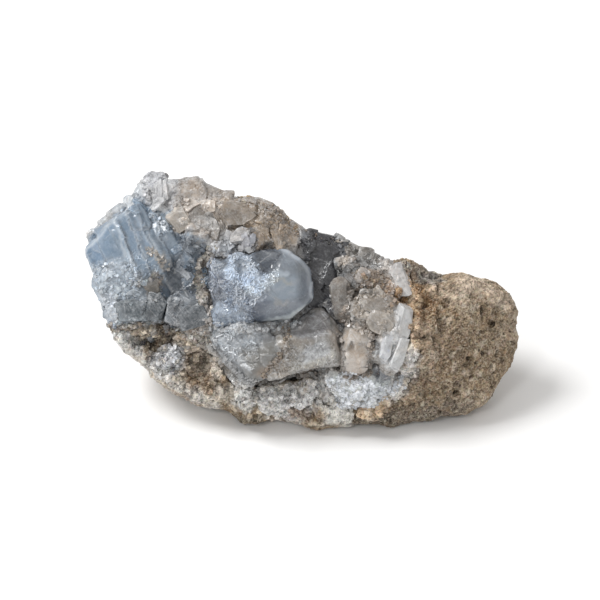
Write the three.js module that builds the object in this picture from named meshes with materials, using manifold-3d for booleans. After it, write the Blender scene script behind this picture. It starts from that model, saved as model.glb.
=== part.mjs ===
// Celestite crystal cluster: a broken piece of a crystal-lined limestone nodule, about 120 mm long.
// The host rock wraps round the right end, the underside and the back. A crust of intergrown small
// crystals lines the front, and the large blue crystals stand in it.
// Millimetres. Everything is shaped in the frame of the crystal face: X across it, Y up it and Z out
// of it. The last group leans that face back, so that the piece rests on its flat broken base.

import * as THREE from 'three';
import { ConvexGeometry } from 'three/addons/geometries/ConvexGeometry.js';
import { ImprovedNoise } from 'three/addons/math/ImprovedNoise.js';
import { mergeVertices } from 'three/addons/utils/BufferGeometryUtils.js';
import Module from 'manifold-3d';

const wasm = await Module();
wasm.setup();

// Driving dimensions
const FACE_RISE = 38; // degrees that the crystal face looks up from level
const FACE_DOME = 11; // how far the middle of the face stands out of its rim
const FACE_ROUND = 0.55; // 0.5 rounds the face like an egg, and less makes it flatter with a steep rim
const BACK_DEPTH = 36; // how far the back stands behind the rim
const BACK_ROUND = 0.85;
const RIM_Z = -8; // depth of the rim at the middle of its length
const RIM_TWIST = -0.04; // the rim lies deeper towards the right, per millimetre
const BASE_DROP = 30.6; // from the face's origin down to the table
const CRUST_FLOOR = -10; // depth of the bed on which the crystals grew
const JOINT_GAP = 0.3; // between pieces that touch
const ROCK_FACETS = 11; // divisions along each edge of the icosahedron that the rock starts from
const BED_FACETS = 7; // the same for the ground under the small crystals
const CRUST_PITCH = 8.4; // spacing of the small crystals in the crust
const CRUST_SINK = 1.2; // how far the middle of a small crystal lies below the ground
const CHUNK_SIDES = 6;
const CHUNK_ROOT = 3; // how far a chunk of rock reaches below the surface
const SWELLS = [{ span: 13, high: 2.2 }, { span: 5.5, high: 1.4 }]; // waves of the broken rock

// Outline of the whole piece, seen square to the crystal face
const OUTLINE = [
  [-44.8, 36.6], [-41.4, 38.4], [-37.0, 36.6], [-30.8, 36.0], [-25.2, 34.3], [-16.5, 31.6],
  [-7.8, 29.4], [-3.9, 27.0], [0.0, 23.6], [12.3, 20.4], [18.5, 17.4], [25.2, 14.6],
  [31.4, 14.0], [36.4, 10.9], [42.3, 10.4], [49.3, 9.0], [52.9, 8.8], [56.8, 5.9],
  [59.4, 2.0], [60.5, -4.2], [59.9, -12.6], [58.0, -16.8], [54.3, -21.6], [50.4, -25.8],
  [43.4, -29.0], [35.8, -30.2], [25.2, -32.0], [15.7, -31.9], [5.0, -33.0], [-2.8, -31.3],
  [-9.5, -30.4], [-15.1, -30.8], [-20.7, -28.0], [-28.0, -25.8], [-33.3, -23.5], [-43.1, -16.8],
  [-49.0, -10.6], [-51.5, -4.2], [-53.5, 2.8], [-55.0, 10.0], [-55.0, 17.0], [-53.5, 22.5],
  [-50.5, 26.5], [-47.0, 31.0],
];
const OUTLINE_CENTRE = [0, -0.5];

// Edge of the ground that the crystals cover, open to the left and top
const CRUST_EDGE = [
  [-68, 21], [-48, 46], [-22, 46], [3, 32], [24, 24], [30.5, 15], [32, 8], [32.2, 0],
  [30.5, -4.5], [31.4, -10], [29.4, -18.2], [26.6, -23], [21, -27.2], [12.6, -28.6], [6.2, -27.4],
  [4.5, -22.6], [0, -22.6], [-10.6, -23], [-16.8, -21.8], [-21, -19], [-26.6, -12.2], [-30.8, -9],
  [-37.8, -3.6], [-44.8, -4.4], [-53.2, -6.2], [-68, -5],
];

// Swells and hollows of the face: where, how wide, and how far out (or in)
const RELIEF = [
  { at: [42, -9], wide: 15, out: 6.5 }, // round shoulder of bare rock
  { at: [46, 4], wide: 8, out: 2.5 },
  { at: [26, -13], wide: 8, out: 2.5 },
  { at: [-8, 8], wide: 12, out: 3.5 }, // ground under the middle crystal
  { at: [-10, -13], wide: 9, out: 3.5 },
  { at: [-26, 24], wide: 11, out: 2.5 }, // upper band of pale crystals
  { at: [-43, 12], wide: 12, out: -1.5 },
  { at: [-28.5, 8], wide: 5, out: -6 }, // gully beside the left crystal
  { at: [7.5, 9], wide: 6.5, out: -5.5 }, // dark hollow beside the middle crystal
  { at: [29.5, -19.5], wide: 2.6, out: -2.5 },
  { at: [-38, -10.5], wide: 3.6, out: -3.2 }, // earthy pockets of the lower left
  { at: [-28, -16], wide: 4.2, out: -3.2 },
  { at: [-46, -9.5], wide: 3.2, out: -1.5 },
  { at: [-2, -22.4], wide: 3.2, out: -3.6 }, // dark gap below the shelf crystal
  { at: [4.6, -20.8], wide: 2.8, out: -3 },
  { at: [33, 6], wide: 3.2, out: -1.8 },
];

// Large crystals: middle point, size along its own axes, then its turn in the face and its two leans.
// prism and dome say how far the edges are cut back: 1 leaves a box, and 0.7 cuts deep faces.
const LEFT_SLABS = [
  { at: [-54.2, 15.4, -3.4], size: [9, 11, 11], turn: 30, lean: [-6, -24], prism: 0.82 },
  { at: [-50.2, 17.6, -1.8], size: [9, 19, 13], turn: 34, lean: [-10, -18], prism: 0.88 },
  { at: [-44.4, 19.0, -1.2], size: [12, 23, 16], turn: 34, lean: [-10, -8], prism: 0.88 },
  { at: [-37.2, 13.4, -2.8], size: [12, 25, 16], turn: 34, lean: [12, 8], prism: 0.88 },
  { at: [-49.2, 6.8, -2.6], size: [14, 15, 13], turn: 28, lean: [8, -14], prism: 0.84 },
  { at: [-44.6, 0.6, -2.4], size: [15, 9, 13], turn: 8, lean: [16, -6], prism: 0.84 },
];
const MIDDLE_CRYSTAL = [
  { at: [-8.6, 6.6, 4.6], size: [22, 19.4, 20], turn: 3, lean: [-4, 12], prism: 0.71, dome: 0.77 },
  { at: [-18.6, 6.0, 4.6], size: [14, 20, 18], turn: 12, lean: [2, -14], prism: 0.82, dome: 0.8 },
  { at: [-17.2, 12.6, 4.2], size: [9, 8, 17], turn: 40, lean: [-12, -6], prism: 0.84, dome: 0.84 },
];
const LOWER_CRYSTAL = [
  { at: [-13.8, -10.6, 3.4], size: [19, 15, 17], turn: -42, lean: [10, -6], prism: 0.82, dome: 0.82 },
  { at: [-18.4, -7.6, 2.8], size: [13, 12, 15], turn: -34, lean: [0, -14], prism: 0.84, dome: 0.84 },
];
const SHELF_CRYSTAL = [
  { at: [-0.8, -11.6, 2.6], size: [22, 12.4, 17], turn: 11.5, lean: [12, 4], prism: 0.88, dome: 0.9 },
  { at: [4.0, -7.2, 0.8], size: [12, 12, 15], turn: 30, lean: [-4, 12], prism: 0.84, dome: 0.82 },
];
const SMOKY_CRYSTAL = [
  { at: [4.8, 9.6, -5.0], size: [11, 22, 12], turn: 12, lean: [-8, 4], prism: 0.88, dome: 0.9 },
  { at: [6.2, 16.4, -6.6], size: [14, 10, 12], turn: -18, lean: [-22, 4], prism: 0.88, dome: 0.9 },
];
const PALE_CRYSTALS = [
  { at: [21.4, -1.0, 2.4], size: [13, 10.4, 14], turn: -18, lean: [-8, -8], prism: 0.82 },
  { at: [27.6, -5.4, 3.8], size: [5.4, 11, 14], turn: -16, lean: [0, -20], prism: 0.8 },
  { at: [23.0, -9.4, 3.6], size: [6.4, 10, 14], turn: -20, lean: [4, 12], prism: 0.8 },
  { at: [26.6, -13.0, 2.8], size: [4.6, 8, 13], turn: -24, lean: [10, -10], prism: 0.8 },
  { at: [15.6, -10.4, 2.4], size: [8.6, 13.4, 14], turn: -10, lean: [2, 6], prism: 0.82 },
  { at: [18.6, -5.6, 1.4], size: [9, 8, 13], turn: 20, lean: [8, -4], prism: 0.84 },
];

// Crystals of the crust that stand out by themselves: middle point, size and turns, as above
const CRUST_CRYSTALS = [
  { at: [-57.0, 21.6, -7.4], size: [9, 6, 9], turn: 50, lean: [-8, -16] },
  { at: [-51.4, 27.4, -6.6], size: [10, 7, 9], turn: 42, lean: [-10, -10] },
  { at: [-45.6, 31.2, -5.4], size: [10, 8, 9], turn: 40, lean: [-12, -8] },
  { at: [-40.8, 34.0, -6.4], size: [9, 8, 9], turn: 14, lean: [-16, -4] },
  { at: [-33.4, 31.6, -3.8], size: [13, 8, 10], turn: 4, lean: [-14, 4] },
  { at: [-35.6, 25.6, -0.8], size: [10, 8, 10], turn: 30, lean: [-6, -8] },
  { at: [-27.6, 24.8, -0.2], size: [9, 9, 10], turn: 24, lean: [-8, 8] },
  { at: [-24.6, 31.4, -5.0], size: [11, 6, 8], turn: -10, lean: [-18, 0] },
  { at: [-18.2, 26.6, -0.6], size: [10.5, 8, 10], turn: -4, lean: [-10, 6] },
  { at: [-10.6, 24.6, -2.6], size: [11, 8, 10], turn: -18, lean: [-18, 0] },
  { at: [-27.2, 18.6, 0.6], size: [10, 7, 10], turn: 20, lean: [-4, -8] },
  { at: [-13.4, 19.8, 1.8], size: [9, 6, 10], turn: 8, lean: [-6, 8] },
  { at: [-5.8, 18.8, -0.8], size: [9, 7, 10], turn: -24, lean: [-12, 8] },
  { at: [-1.6, 21.4, -4.4], size: [8, 6, 9], turn: -34, lean: [-20, 0] },
  { at: [13.2, 17.4, -6.0], size: [10, 6, 9], turn: -22, lean: [-20, 0] },
  { at: [14.4, 11.4, -1.8], size: [8, 8, 10], turn: 12, lean: [-4, -8] },
  { at: [19.6, 14.0, -4.2], size: [7, 5.5, 10], turn: -30, lean: [-16, 6] },
  { at: [23.6, 11.6, -2.6], size: [5.5, 6, 11], turn: 18, lean: [-10, -6] },
  { at: [28.0, 9.0, -0.8], size: [5.4, 9, 11], turn: -8, lean: [-6, 8] },
  { at: [20.2, 7.0, 0.4], size: [11, 6.4, 10], turn: -12, lean: [-2, 4] },
  { at: [11.2, 2.8, 0.8], size: [5, 10.5, 10], turn: 4, lean: [-2, 6] },
  { at: [-28.2, 9.2, -2.0], size: [4, 11, 8], turn: -14, lean: [0, 8] },
  { at: [-24.6, -2.8, 1.6], size: [9, 8, 9], turn: 30, lean: [8, -6] },
  { at: [-32.6, -1.2, 0.6], size: [10, 8, 10], turn: -16, lean: [6, 4] },
  { at: [-24.0, -10.2, 1.4], size: [7, 10, 9], turn: 14, lean: [8, -8] },
  { at: [21.6, -19.6, -0.2], size: [9, 7, 10], turn: 28, lean: [16, -6] },
  { at: [12.4, -20.4, 0.2], size: [10, 6.4, 10], turn: -12, lean: [16, 2] },
  { at: [17.0, -24.6, -2.4], size: [10, 5.4, 9], turn: -4, lean: [24, 0] },
];

// Chunks and ledges of the host rock: where on the face, size and turn, and how far each stands out
const ROCK_CHUNKS = [
  { at: [31.4, 10.8], size: [16, 7], turn: -14, out: 1.8 }, // slab behind the face
  { at: [44.6, 6.2], size: [13, 6], turn: 4, out: 1.5 },
  { at: [51.0, 2.4], size: [10, 8], turn: -40, out: 1.4 },
  { at: [35.6, 6.4], size: [9, 11], turn: 20, out: 2.4 }, // rim beside the crystals
  { at: [36.0, -3.0], size: [9, 13], turn: 5, out: 2.4 },
  { at: [35.0, -12.4], size: [9, 12], turn: -10, out: 2.2 },
  { at: [31.0, -21.6], size: [13, 9], turn: 50, out: 1.8 },
  { at: [20.4, -29.0], size: [14, 6], turn: 2, out: 1.2 },
  { at: [8.0, -28.4], size: [13, 6], turn: -4, out: 1.8 },
  { at: [1.8, -25.4], size: [11, 5], turn: 12, out: 2.2 },
  { at: [-7.6, -26.4], size: [12, 7], turn: -10, out: 1.6 },
  { at: [-15.2, -23.6], size: [8, 9], turn: 8, out: 3 }, // pale lump under the lower crystal
  { at: [-24.6, -21.6], size: [12, 7], turn: -32, out: 1.6 },
  { at: [-22.6, -17.2], size: [9, 5], turn: -36, out: 2.2 },
  { at: [-36.6, -13.4], size: [12, 8], turn: -28, out: 3 }, // white lump of the lower left
  { at: [-48.2, -7.4], size: [8, 5], turn: -60, out: 1.8 },
];

// Pits of the host rock, in the same way
const ROCK_PITS = [
  { at: [-45.2, -9.0], size: [6, 5], turn: -40, out: -2.6 }, // earthy pockets of the lower left
  { at: [-41.4, -9.4], size: [5, 6], turn: -10, out: -2.6 },
  { at: [-29.0, -14.4], size: [6, 10], turn: 24, out: -3.2 },
  { at: [54.0, -3.8], size: [4.4, 4], turn: 0, out: -2 },
  { at: [47.6, -14.2], size: [8, 4], turn: 35, out: -1.8 },
  { at: [43.4, -23.0], size: [5, 3.4], turn: -20, out: -1.6 },
  { at: [41.0, 2.4], size: [6, 4], turn: 50, out: -1.8 },
  { at: [12.6, -25.6], size: [2.6, 6], turn: 18, out: -1.8 }, // crack of the lower edge
];

const noise = new ImprovedNoise();
const swellAt = (x, y, z) => SWELLS.reduce(
  (sum, { span, high }) => sum + high * noise.noise(x / span, y / span, z / span),
  0,
);

// The rim as a distance from the outline's centre for each direction
const outlineCorners = OUTLINE.map(([x, y]) => new THREE.Vector3(x, y, 0));
const rim = new THREE.CatmullRomCurve3(outlineCorners, true, 'centripetal')
  .getPoints(420)
  .map((p) => {
    const x = p.x - OUTLINE_CENTRE[0];
    const y = p.y - OUTLINE_CENTRE[1];
    return { angle: Math.atan2(y, x), reach: Math.hypot(x, y) };
  })
  .sort((a, b) => a.angle - b.angle);

function reachAt(angle) {
  let after = rim.findIndex((p) => p.angle >= angle);
  if (after < 0) after = 0;
  const b = rim[after];
  const a = rim[(after + rim.length - 1) % rim.length];
  const turn = 2 * Math.PI;
  const gap = (b.angle - a.angle + turn) % turn || 1;
  const share = ((angle - a.angle + turn) % turn) / gap;
  return a.reach + (b.reach - a.reach) * Math.min(share, 1);
}

// Height of the face's swells and hollows
function relief(x, y) {
  return RELIEF.reduce((sum, { at, wide, out }) => {
    const far = Math.hypot(x - at[0], y - at[1]) / wide;
    return sum + out * Math.exp(-far * far);
  }, 0);
}

// Flat breaks of the back and ends: the way each one faces, and how far out of the centre it lies
const BREAKS = [
  { faces: [0.15, 0.62, -0.77], far: 37 },
  { faces: [-0.72, 0.1, -0.69], far: 46 },
  { faces: [0.75, 0.1, -0.65], far: 49 },
  { faces: [0.45, 0.78, -0.43], far: 33 },
  { faces: [-0.3, 0.85, -0.42], far: 42 },
  { faces: [0.95, 0.2, -0.25], far: 59 },
];

// Depth of the surface over a point of the face, side 1 in front and -1 behind
function surfaceZ(x, y, share, side) {
  const full = Math.sqrt(Math.max(0, 1 - share * share));
  const rimZ = RIM_Z + RIM_TWIST * x;
  if (side < 0) return rimZ - BACK_DEPTH * full ** BACK_ROUND;
  return rimZ + FACE_DOME * full ** FACE_ROUND + relief(x, y) * Math.min(1, full * 1.6);
}

// How far out a point of the face lies, from 0 in the middle to 1 at the rim
function shareAt(x, y) {
  const dx = x - OUTLINE_CENTRE[0];
  const dy = y - OUTLINE_CENTRE[1];
  return Math.hypot(dx, dy) / reachAt(Math.atan2(dy, dx));
}

const faceZ = (x, y) => surfaceZ(x, y, Math.min(shareAt(x, y), 1), 1);

// The same shape with one point for each corner
function cornerPoints(geometry) {
  const bare = new THREE.BufferGeometry().setAttribute('position', geometry.getAttribute('position'));
  if (geometry.index) bare.setIndex(geometry.index);
  return mergeVertices(bare, 1e-4);
}

// Solids for cutting and joining
function toSolid(geometry) {
  const merged = cornerPoints(geometry);
  const vertProperties = new Float32Array(merged.attributes.position.array);
  const triVerts = new Uint32Array(merged.index.array);
  return new wasm.Manifold(new wasm.Mesh({ numProp: 3, vertProperties, triVerts }));
}

function toGeometry(solid) {
  const { vertProperties, triVerts } = solid.getMesh();
  const geometry = new THREE.BufferGeometry();
  geometry.setAttribute('position', new THREE.BufferAttribute(vertProperties, 3));
  geometry.setIndex(new THREE.BufferAttribute(triVerts, 1));
  geometry.computeVertexNormals();
  return geometry;
}

const joined = (solids) => solids.reduce((all, solid) => all.add(solid));

// Crumbs that the cuts leave are dropped
const biggest = (solid) => solid.decompose().sort((a, b) => b.volume() - a.volume())[0];

// A crystal is what lies behind all its faces: three pairs of flat ones, and two sloping ones that
// make a chisel of the end that stands out. A prism value below 1 also cuts its upright edges and the
// other two sides of that end.
function crystalFaces([a, b, c], prism, dome) {
  const faces = [];
  for (const s of [1, -1]) {
    faces.push([s / a, 0, 0, 0.5], [0, s / b, 0, 0.5], [0, 0, s / c, 0.5]);
    faces.push([0, s / b, 1 / c, dome]);
    if (prism < 1) {
      faces.push([s / a, 0, 1 / c, dome], [s / a, 1 / b, 0, prism], [s / a, -1 / b, 0, prism]);
    }
  }
  return faces.map(([x, y, z, far]) => {
    const length = Math.hypot(x, y, z);
    return new THREE.Plane(new THREE.Vector3(x, y, z).divideScalar(length), -far / length);
  });
}

// The points where three faces meet, without those cut off by another face
function cornersOf(faces) {
  const corners = [];
  const cross = new THREE.Vector3();
  faces.forEach((p, i) => faces.slice(i + 1).forEach((q, j) => faces.slice(i + j + 2).forEach((r) => {
    const spread = p.normal.dot(cross.crossVectors(q.normal, r.normal));
    if (Math.abs(spread) < 1e-5) return;
    const corner = cross.clone().multiplyScalar(-p.constant)
      .addScaledVector(new THREE.Vector3().crossVectors(r.normal, p.normal), -q.constant)
      .addScaledVector(new THREE.Vector3().crossVectors(p.normal, q.normal), -r.constant)
      .divideScalar(spread);
    if (faces.every((face) => face.distanceToPoint(corner) < 1e-4)) corners.push(corner);
  })));
  return corners;
}

// One crystal in its place; grow moves every face outwards, which makes the socket it sits in
function crystal({ at, size, turn, lean, prism = 1, dome = 0.84 }, grow = 0) {
  const faces = crystalFaces(size, prism, dome);
  faces.forEach((face) => { face.constant -= grow; });
  const degrees = THREE.MathUtils.degToRad;
  const pose = new THREE.Euler(degrees(lean[0]), degrees(lean[1]), degrees(turn), 'ZYX');
  const geometry = new ConvexGeometry(cornersOf(faces));
  geometry.applyMatrix4(new THREE.Matrix4().makeRotationFromEuler(pose).setPosition(...at));
  return toSolid(geometry);
}

const crystals = (list, grow = 0) => joined(list.map((one) => crystal(one, grow)));

// A broken chunk of rock that lies along the surface: a low block with uneven sides and a sloping top.
// Where out is below zero it is turned over, and is the shape of a pit.
function chunk({ at: [x, y], size, turn, out }, seed) {
  const points = [];
  for (let i = 0; i < CHUNK_SIDES; i += 1) {
    const uneven = (part) => THREE.MathUtils.seededRandom(seed * 131 + i * 17 + part);
    const angle = ((i + 0.7 * uneven(1)) * 2 * Math.PI) / CHUNK_SIDES;
    const side = new THREE.Vector3(Math.cos(angle) * size[0], Math.sin(angle) * size[1], 0);
    points.push(side.clone().multiplyScalar(0.5).setZ(-Math.sign(out) * CHUNK_ROOT));
    points.push(side.multiplyScalar(0.28 + 0.12 * uneven(2)).setZ(out * (0.7 + 0.5 * uneven(3))));
  }
  const geometry = new ConvexGeometry(points);
  geometry.rotateZ(THREE.MathUtils.degToRad(turn));
  const slopeX = (faceZ(x + 2, y) - faceZ(x - 2, y)) / 4;
  const slopeY = (faceZ(x, y + 2) - faceZ(x, y - 2)) / 4;
  const outward = new THREE.Vector3(-slopeX, -slopeY, 1).normalize();
  const up = new THREE.Vector3(0, 0, 1);
  geometry.applyQuaternion(new THREE.Quaternion().setFromUnitVectors(up, outward));
  geometry.translate(x, y, faceZ(x, y));
  return toSolid(geometry);
}

// The whole body: an icosahedron's points, moved out to the rim, the face and the back, then flattened
// behind the breaks and roughened
function body(facets) {
  const geometry = new THREE.IcosahedronGeometry(1, facets);
  const points = geometry.getAttribute('position');
  for (let i = 0; i < points.count; i += 1) {
    const d = new THREE.Vector3().fromBufferAttribute(points, i).normalize();
    const share = Math.hypot(d.x, d.y);
    const angle = Math.atan2(d.y, d.x);
    const reach = reachAt(angle) * share;
    const x = OUTLINE_CENTRE[0] + reach * Math.cos(angle);
    const y = OUTLINE_CENTRE[1] + reach * Math.sin(angle);
    const z = surfaceZ(x, y, share, d.z < 0 ? -1 : 1);
    const point = new THREE.Vector3(x, y, z);
    if (d.z < 0) {
      BREAKS.forEach(({ faces, far }) => {
        const normal = new THREE.Vector3(...faces).normalize();
        point.addScaledVector(normal, -Math.max(0, point.dot(normal) - far));
      });
    }
    const rough = d.z < 0 ? 1 : 0.65;
    const outward = new THREE.Vector3(d.x * 0.35, d.y * 0.35, d.z * rough);
    point.addScaledVector(outward, swellAt(x, y, z));
    points.setXYZ(i, point.x, point.y, point.z);
  }
  return toSolid(geometry);
}

// The room above the table, leaning against the face's frame
function aboveTable() {
  const room = new THREE.BoxGeometry(300, 300, 200);
  room.translate(0, 0, 100 - BASE_DROP);
  room.rotateX(THREE.MathUtils.degToRad(FACE_RISE - 90));
  return toSolid(room);
}

// A block that holds all within the crust's edge and in front of its bed
function crustRoom(shrink) {
  const points = CRUST_EDGE.map(([x, y]) => new THREE.Vector2(x, y));
  const moved = points.map((p, i) => {
    const before = points[(i + points.length - 1) % points.length];
    const after = points[(i + 1) % points.length];
    const along = after.clone().sub(before).normalize();
    return p.clone().add(new THREE.Vector2(along.y, -along.x).multiplyScalar(shrink));
  });
  const room = new THREE.ExtrudeGeometry(new THREE.Shape(moved), { depth: 60, bevelEnabled: false });
  room.translate(0, 0, CRUST_FLOOR + shrink);
  return toSolid(room);
}

// Whether a point of the face lies within the crust's edge: the edge is crossed an odd number of times
// on the way out to the right
function insideCrust(x, y) {
  const crossings = CRUST_EDGE.filter(([ax, ay], i) => {
    const [bx, by] = CRUST_EDGE[(i + 1) % CRUST_EDGE.length];
    return ay > y !== by > y && x < ax + ((bx - ax) * (y - ay)) / (by - ay);
  });
  return crossings.length % 2 === 1 && shareAt(x, y) < 0.95;
}

// Small crystals over the rest of the crust, each sunk in the ground with a turn of its own
function scatteredCrystals(taken) {
  const found = [];
  let seed = 7;
  const draw = (low, high) => {
    seed += 1;
    return low + (high - low) * THREE.MathUtils.seededRandom(seed * 977);
  };
  for (let row = -28; row < 40; row += CRUST_PITCH * 0.87) {
    for (let column = -58; column < 34; column += CRUST_PITCH) {
      const x = column + draw(-2, 2);
      const y = row + draw(-2, 2);
      const size = [draw(5.5, 9), draw(4.5, 7), draw(6, 9)];
      const dome = draw(0.68, 0.86);
      const turn = draw(0, 180);
      const lean = [draw(-30, 30), draw(-30, 30)];
      const covered = taken.some((one) => Math.hypot(x - one.at[0], y - one.at[1]) < one.size[0] * 0.42);
      const z = Math.min(faceZ(x, y), faceZ(x - 2, y + 1), faceZ(x + 2, y - 1)) - CRUST_SINK;
      if (!covered && insideCrust(x, y)) found.push({ at: [x, y, z], size, turn, lean, dome });
    }
  }
  return found;
}

// Colour, roughness and how clear each material is
function material(color, roughness, opacity = 1) {
  return new THREE.MeshStandardMaterial({
    color, roughness, metalness: 0, opacity, transparent: opacity < 1, flatShading: true,
  });
}
const LIMESTONE = material(0x8d7a66, 0.9);
const CRUST = material(0xb5aca3, 0.5);
const BLUE = material(0x8a9aa8, 0.25, 0.85);
const SMOKY = material(0x4d4f54, 0.25, 0.85);
const PALE = material(0xc3c1c2, 0.35, 0.9);

const large = {
  left_crystal: [LEFT_SLABS, BLUE],
  middle_crystal: [MIDDLE_CRYSTAL, BLUE],
  lower_crystal: [LOWER_CRYSTAL, BLUE],
  shelf_crystal: [SHELF_CRYSTAL, PALE],
  smoky_crystal: [SMOKY_CRYSTAL, SMOKY],
  pale_crystals: [PALE_CRYSTALS, PALE],
};

// The rock is the whole body with its chunks, less its pits and the bed of the crust
const room = aboveTable();
const sockets = Object.values(large).map(([list]) => crystals(list, JOINT_GAP));
const allSockets = joined(sockets);
const rock = body(ROCK_FACETS)
  .add(joined(ROCK_CHUNKS.map(chunk)))
  .intersect(room)
  .subtract(joined(ROCK_PITS.map(chunk)))
  .subtract(crustRoom(0))
  .subtract(allSockets);

// The crust is a bed with small crystals, less the sockets of the large ones
const taken = Object.values(large).flatMap(([list]) => list).concat(CRUST_CRYSTALS);
const smallCrystals = crystals([...CRUST_CRYSTALS, ...scatteredCrystals(taken)]);
const crust = body(BED_FACETS)
  .add(smallCrystals)
  .intersect(crustRoom(JOINT_GAP))
  .subtract(allSockets);

const specimen = new THREE.Group();
function place(name, solid, look) {
  const mesh = new THREE.Mesh(toGeometry(biggest(solid)), look);
  mesh.name = name;
  specimen.add(mesh);
}
place('host_rock', rock, LIMESTONE);
place('crystal_crust', crust, CRUST);
Object.entries(large).forEach(([name, [list, look]], i) => {
  const grownBefore = sockets.slice(0, i);
  const solid = crystals(list);
  place(name, i > 0 ? solid.subtract(joined(grownBefore)) : solid, look);
});

// The crystal face leans back, and the origin goes under the middle of the piece, on the table
specimen.rotation.x = THREE.MathUtils.degToRad(90 - FACE_RISE);
const celestite_cluster = new THREE.Group();
celestite_cluster.add(specimen);
celestite_cluster.updateMatrixWorld(true);
const box = new THREE.Box3().setFromObject(celestite_cluster, true);
specimen.position.set(-(box.min.x + box.max.x) / 2, -(box.min.y + box.max.y) / 2, -box.min.z);

export default celestite_cluster;
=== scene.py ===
# %% [markdown]
# # A celestite crystal cluster in Blender
# The specimen is a broken half of a limestone nodule whose hollow filled with crystals. The packed
# CAD model gives every main solid in metres, in the place where it belongs, so nothing is fitted by
# eye. This lesson gives those solids the finish that a stone has: broken grain, glassy faces,
# thousands of small crystals, and colours that run into each other.

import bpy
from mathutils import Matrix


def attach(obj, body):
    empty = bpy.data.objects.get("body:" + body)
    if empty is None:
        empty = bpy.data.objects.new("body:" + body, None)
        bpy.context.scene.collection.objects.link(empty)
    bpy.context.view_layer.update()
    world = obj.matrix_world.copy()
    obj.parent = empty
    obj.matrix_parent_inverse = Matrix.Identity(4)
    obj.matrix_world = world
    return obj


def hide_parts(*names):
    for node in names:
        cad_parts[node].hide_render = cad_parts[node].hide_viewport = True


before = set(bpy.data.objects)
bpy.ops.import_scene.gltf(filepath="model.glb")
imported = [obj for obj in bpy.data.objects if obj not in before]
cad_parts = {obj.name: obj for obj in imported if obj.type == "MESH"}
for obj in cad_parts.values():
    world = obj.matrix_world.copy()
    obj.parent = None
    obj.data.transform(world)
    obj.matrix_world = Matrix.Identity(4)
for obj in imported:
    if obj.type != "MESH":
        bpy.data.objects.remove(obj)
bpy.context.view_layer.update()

# %% [markdown]
# ## Tools
# Blender makes the scene, its mesh editor joins and splits small solids, and numpy does the sums on
# whole arrays of points at once, which keeps a million triangles quick.

# %% Libraries
import json
import math
from itertools import product

import bmesh
import bpy
import numpy as np
from mathutils import Euler, Vector
from mathutils.bvhtree import BVHTree

# %% [markdown]
# ## One picture, one frame
# The photograph looks square at the crystal face, which leans back. Every place on the stone can
# therefore be named by the photo pixel that shows it. Three unit directions turn metres into
# millimetres across, up and out of the face, and a fixed pixel size turns those into pixels.

# %% From metres to photo pixels and back
MM = 0.001
PIXEL = 0.28  # millimetres on the face for one photo pixel
PICTURE_ORIGIN = np.array([300.0, 310.0])
FACE_RISE = math.radians(38)
FACE_ORIGIN = np.array([1.29627, -10.2535, 30.6])
FACE_AXES = np.array([
    [1.0, 0.0, 0.0],
    [0.0, math.sin(FACE_RISE), math.cos(FACE_RISE)],
    [0.0, -math.cos(FACE_RISE), math.sin(FACE_RISE)],
])


def to_face(points):
    """World metres to millimetres across, up and out of the crystal face."""
    return (np.asarray(points) / MM - FACE_ORIGIN) @ FACE_AXES.T


def from_face(places):
    """The way back: millimetres in the face's frame to world metres."""
    return (FACE_ORIGIN + np.asarray(places) @ FACE_AXES) * MM


def to_picture(places):
    """Photo pixels of places in the face's frame."""
    return PICTURE_ORIGIN + places[:, :2] * [1 / PIXEL, -1 / PIXEL]


def from_picture(pixels, out=0.0):
    """Places in the face's frame for photo pixels, at one height out of the face."""
    across = (np.asarray(pixels, float) - PICTURE_ORIGIN) * [PIXEL, -PIXEL]
    return np.column_stack([across, np.full(len(across), out)])


# %% [markdown]
# ## Camera
# A long lens from more than a metre away keeps the edges of the stone where the photograph has
# them, because its rays are nearly parallel. It looks down at the angle at which the face looks up.

# %% Camera
CAMERA_REACH = 1.2  # metres
PICTURE_WIDTH = 600 * PIXEL * MM
SENSOR_WIDTH = 36.0
AIM_PIXEL = [300, 300]

lens = bpy.data.cameras.new("long_lens")
lens.sensor_width = SENSOR_WIDTH
lens.lens = SENSOR_WIDTH * CAMERA_REACH / PICTURE_WIDTH
lens.clip_start = 0.05
lens.clip_end = 10.0
camera = bpy.data.objects.new("camera", lens)
bpy.context.scene.collection.objects.link(camera)
aim = from_face(from_picture([AIM_PIXEL]))[0]
camera.location = Vector(aim + FACE_AXES[2] * CAMERA_REACH)
camera.rotation_euler = Euler((math.pi / 2 - FACE_RISE, 0, 0))
bpy.context.scene.camera = camera
print("lens in mm:", round(lens.lens))

# %% [markdown]
# ## Light and floor
# The photograph has even daylight with its brightest part high on the left. A pale world does most
# of the work. One large lamp gives the upper faces their light, and a smaller one gives glints.

# %% World, lamps and floor
WORLD_LIGHT = 0.60
bpy.context.scene.view_settings.view_transform = "Standard"
world = bpy.data.worlds.new("soft_daylight")
world.use_nodes = True
world.node_tree.nodes["Background"].inputs["Color"].default_value = (1.0, 0.99, 0.975, 1)
world.node_tree.nodes["Background"].inputs["Strength"].default_value = WORLD_LIGHT
bpy.context.scene.world = world


def soft_lamp(name, place, size, watts):
    """A square area lamp that faces the middle of the stone."""
    light = bpy.data.lights.new(name, "AREA")
    light.size = size
    light.energy = watts
    lamp = bpy.data.objects.new(name, light)
    lamp.location = place
    lamp.rotation_euler = (Vector(aim) - Vector(place)).to_track_quat("-Z", "Y").to_euler()
    bpy.context.scene.collection.objects.link(lamp)


soft_lamp("window", (-0.50, 0.05, 0.80), 0.42, 7.5)
soft_lamp("glint", (-0.30, -0.75, 0.75), 0.20, 1.8)

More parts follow.
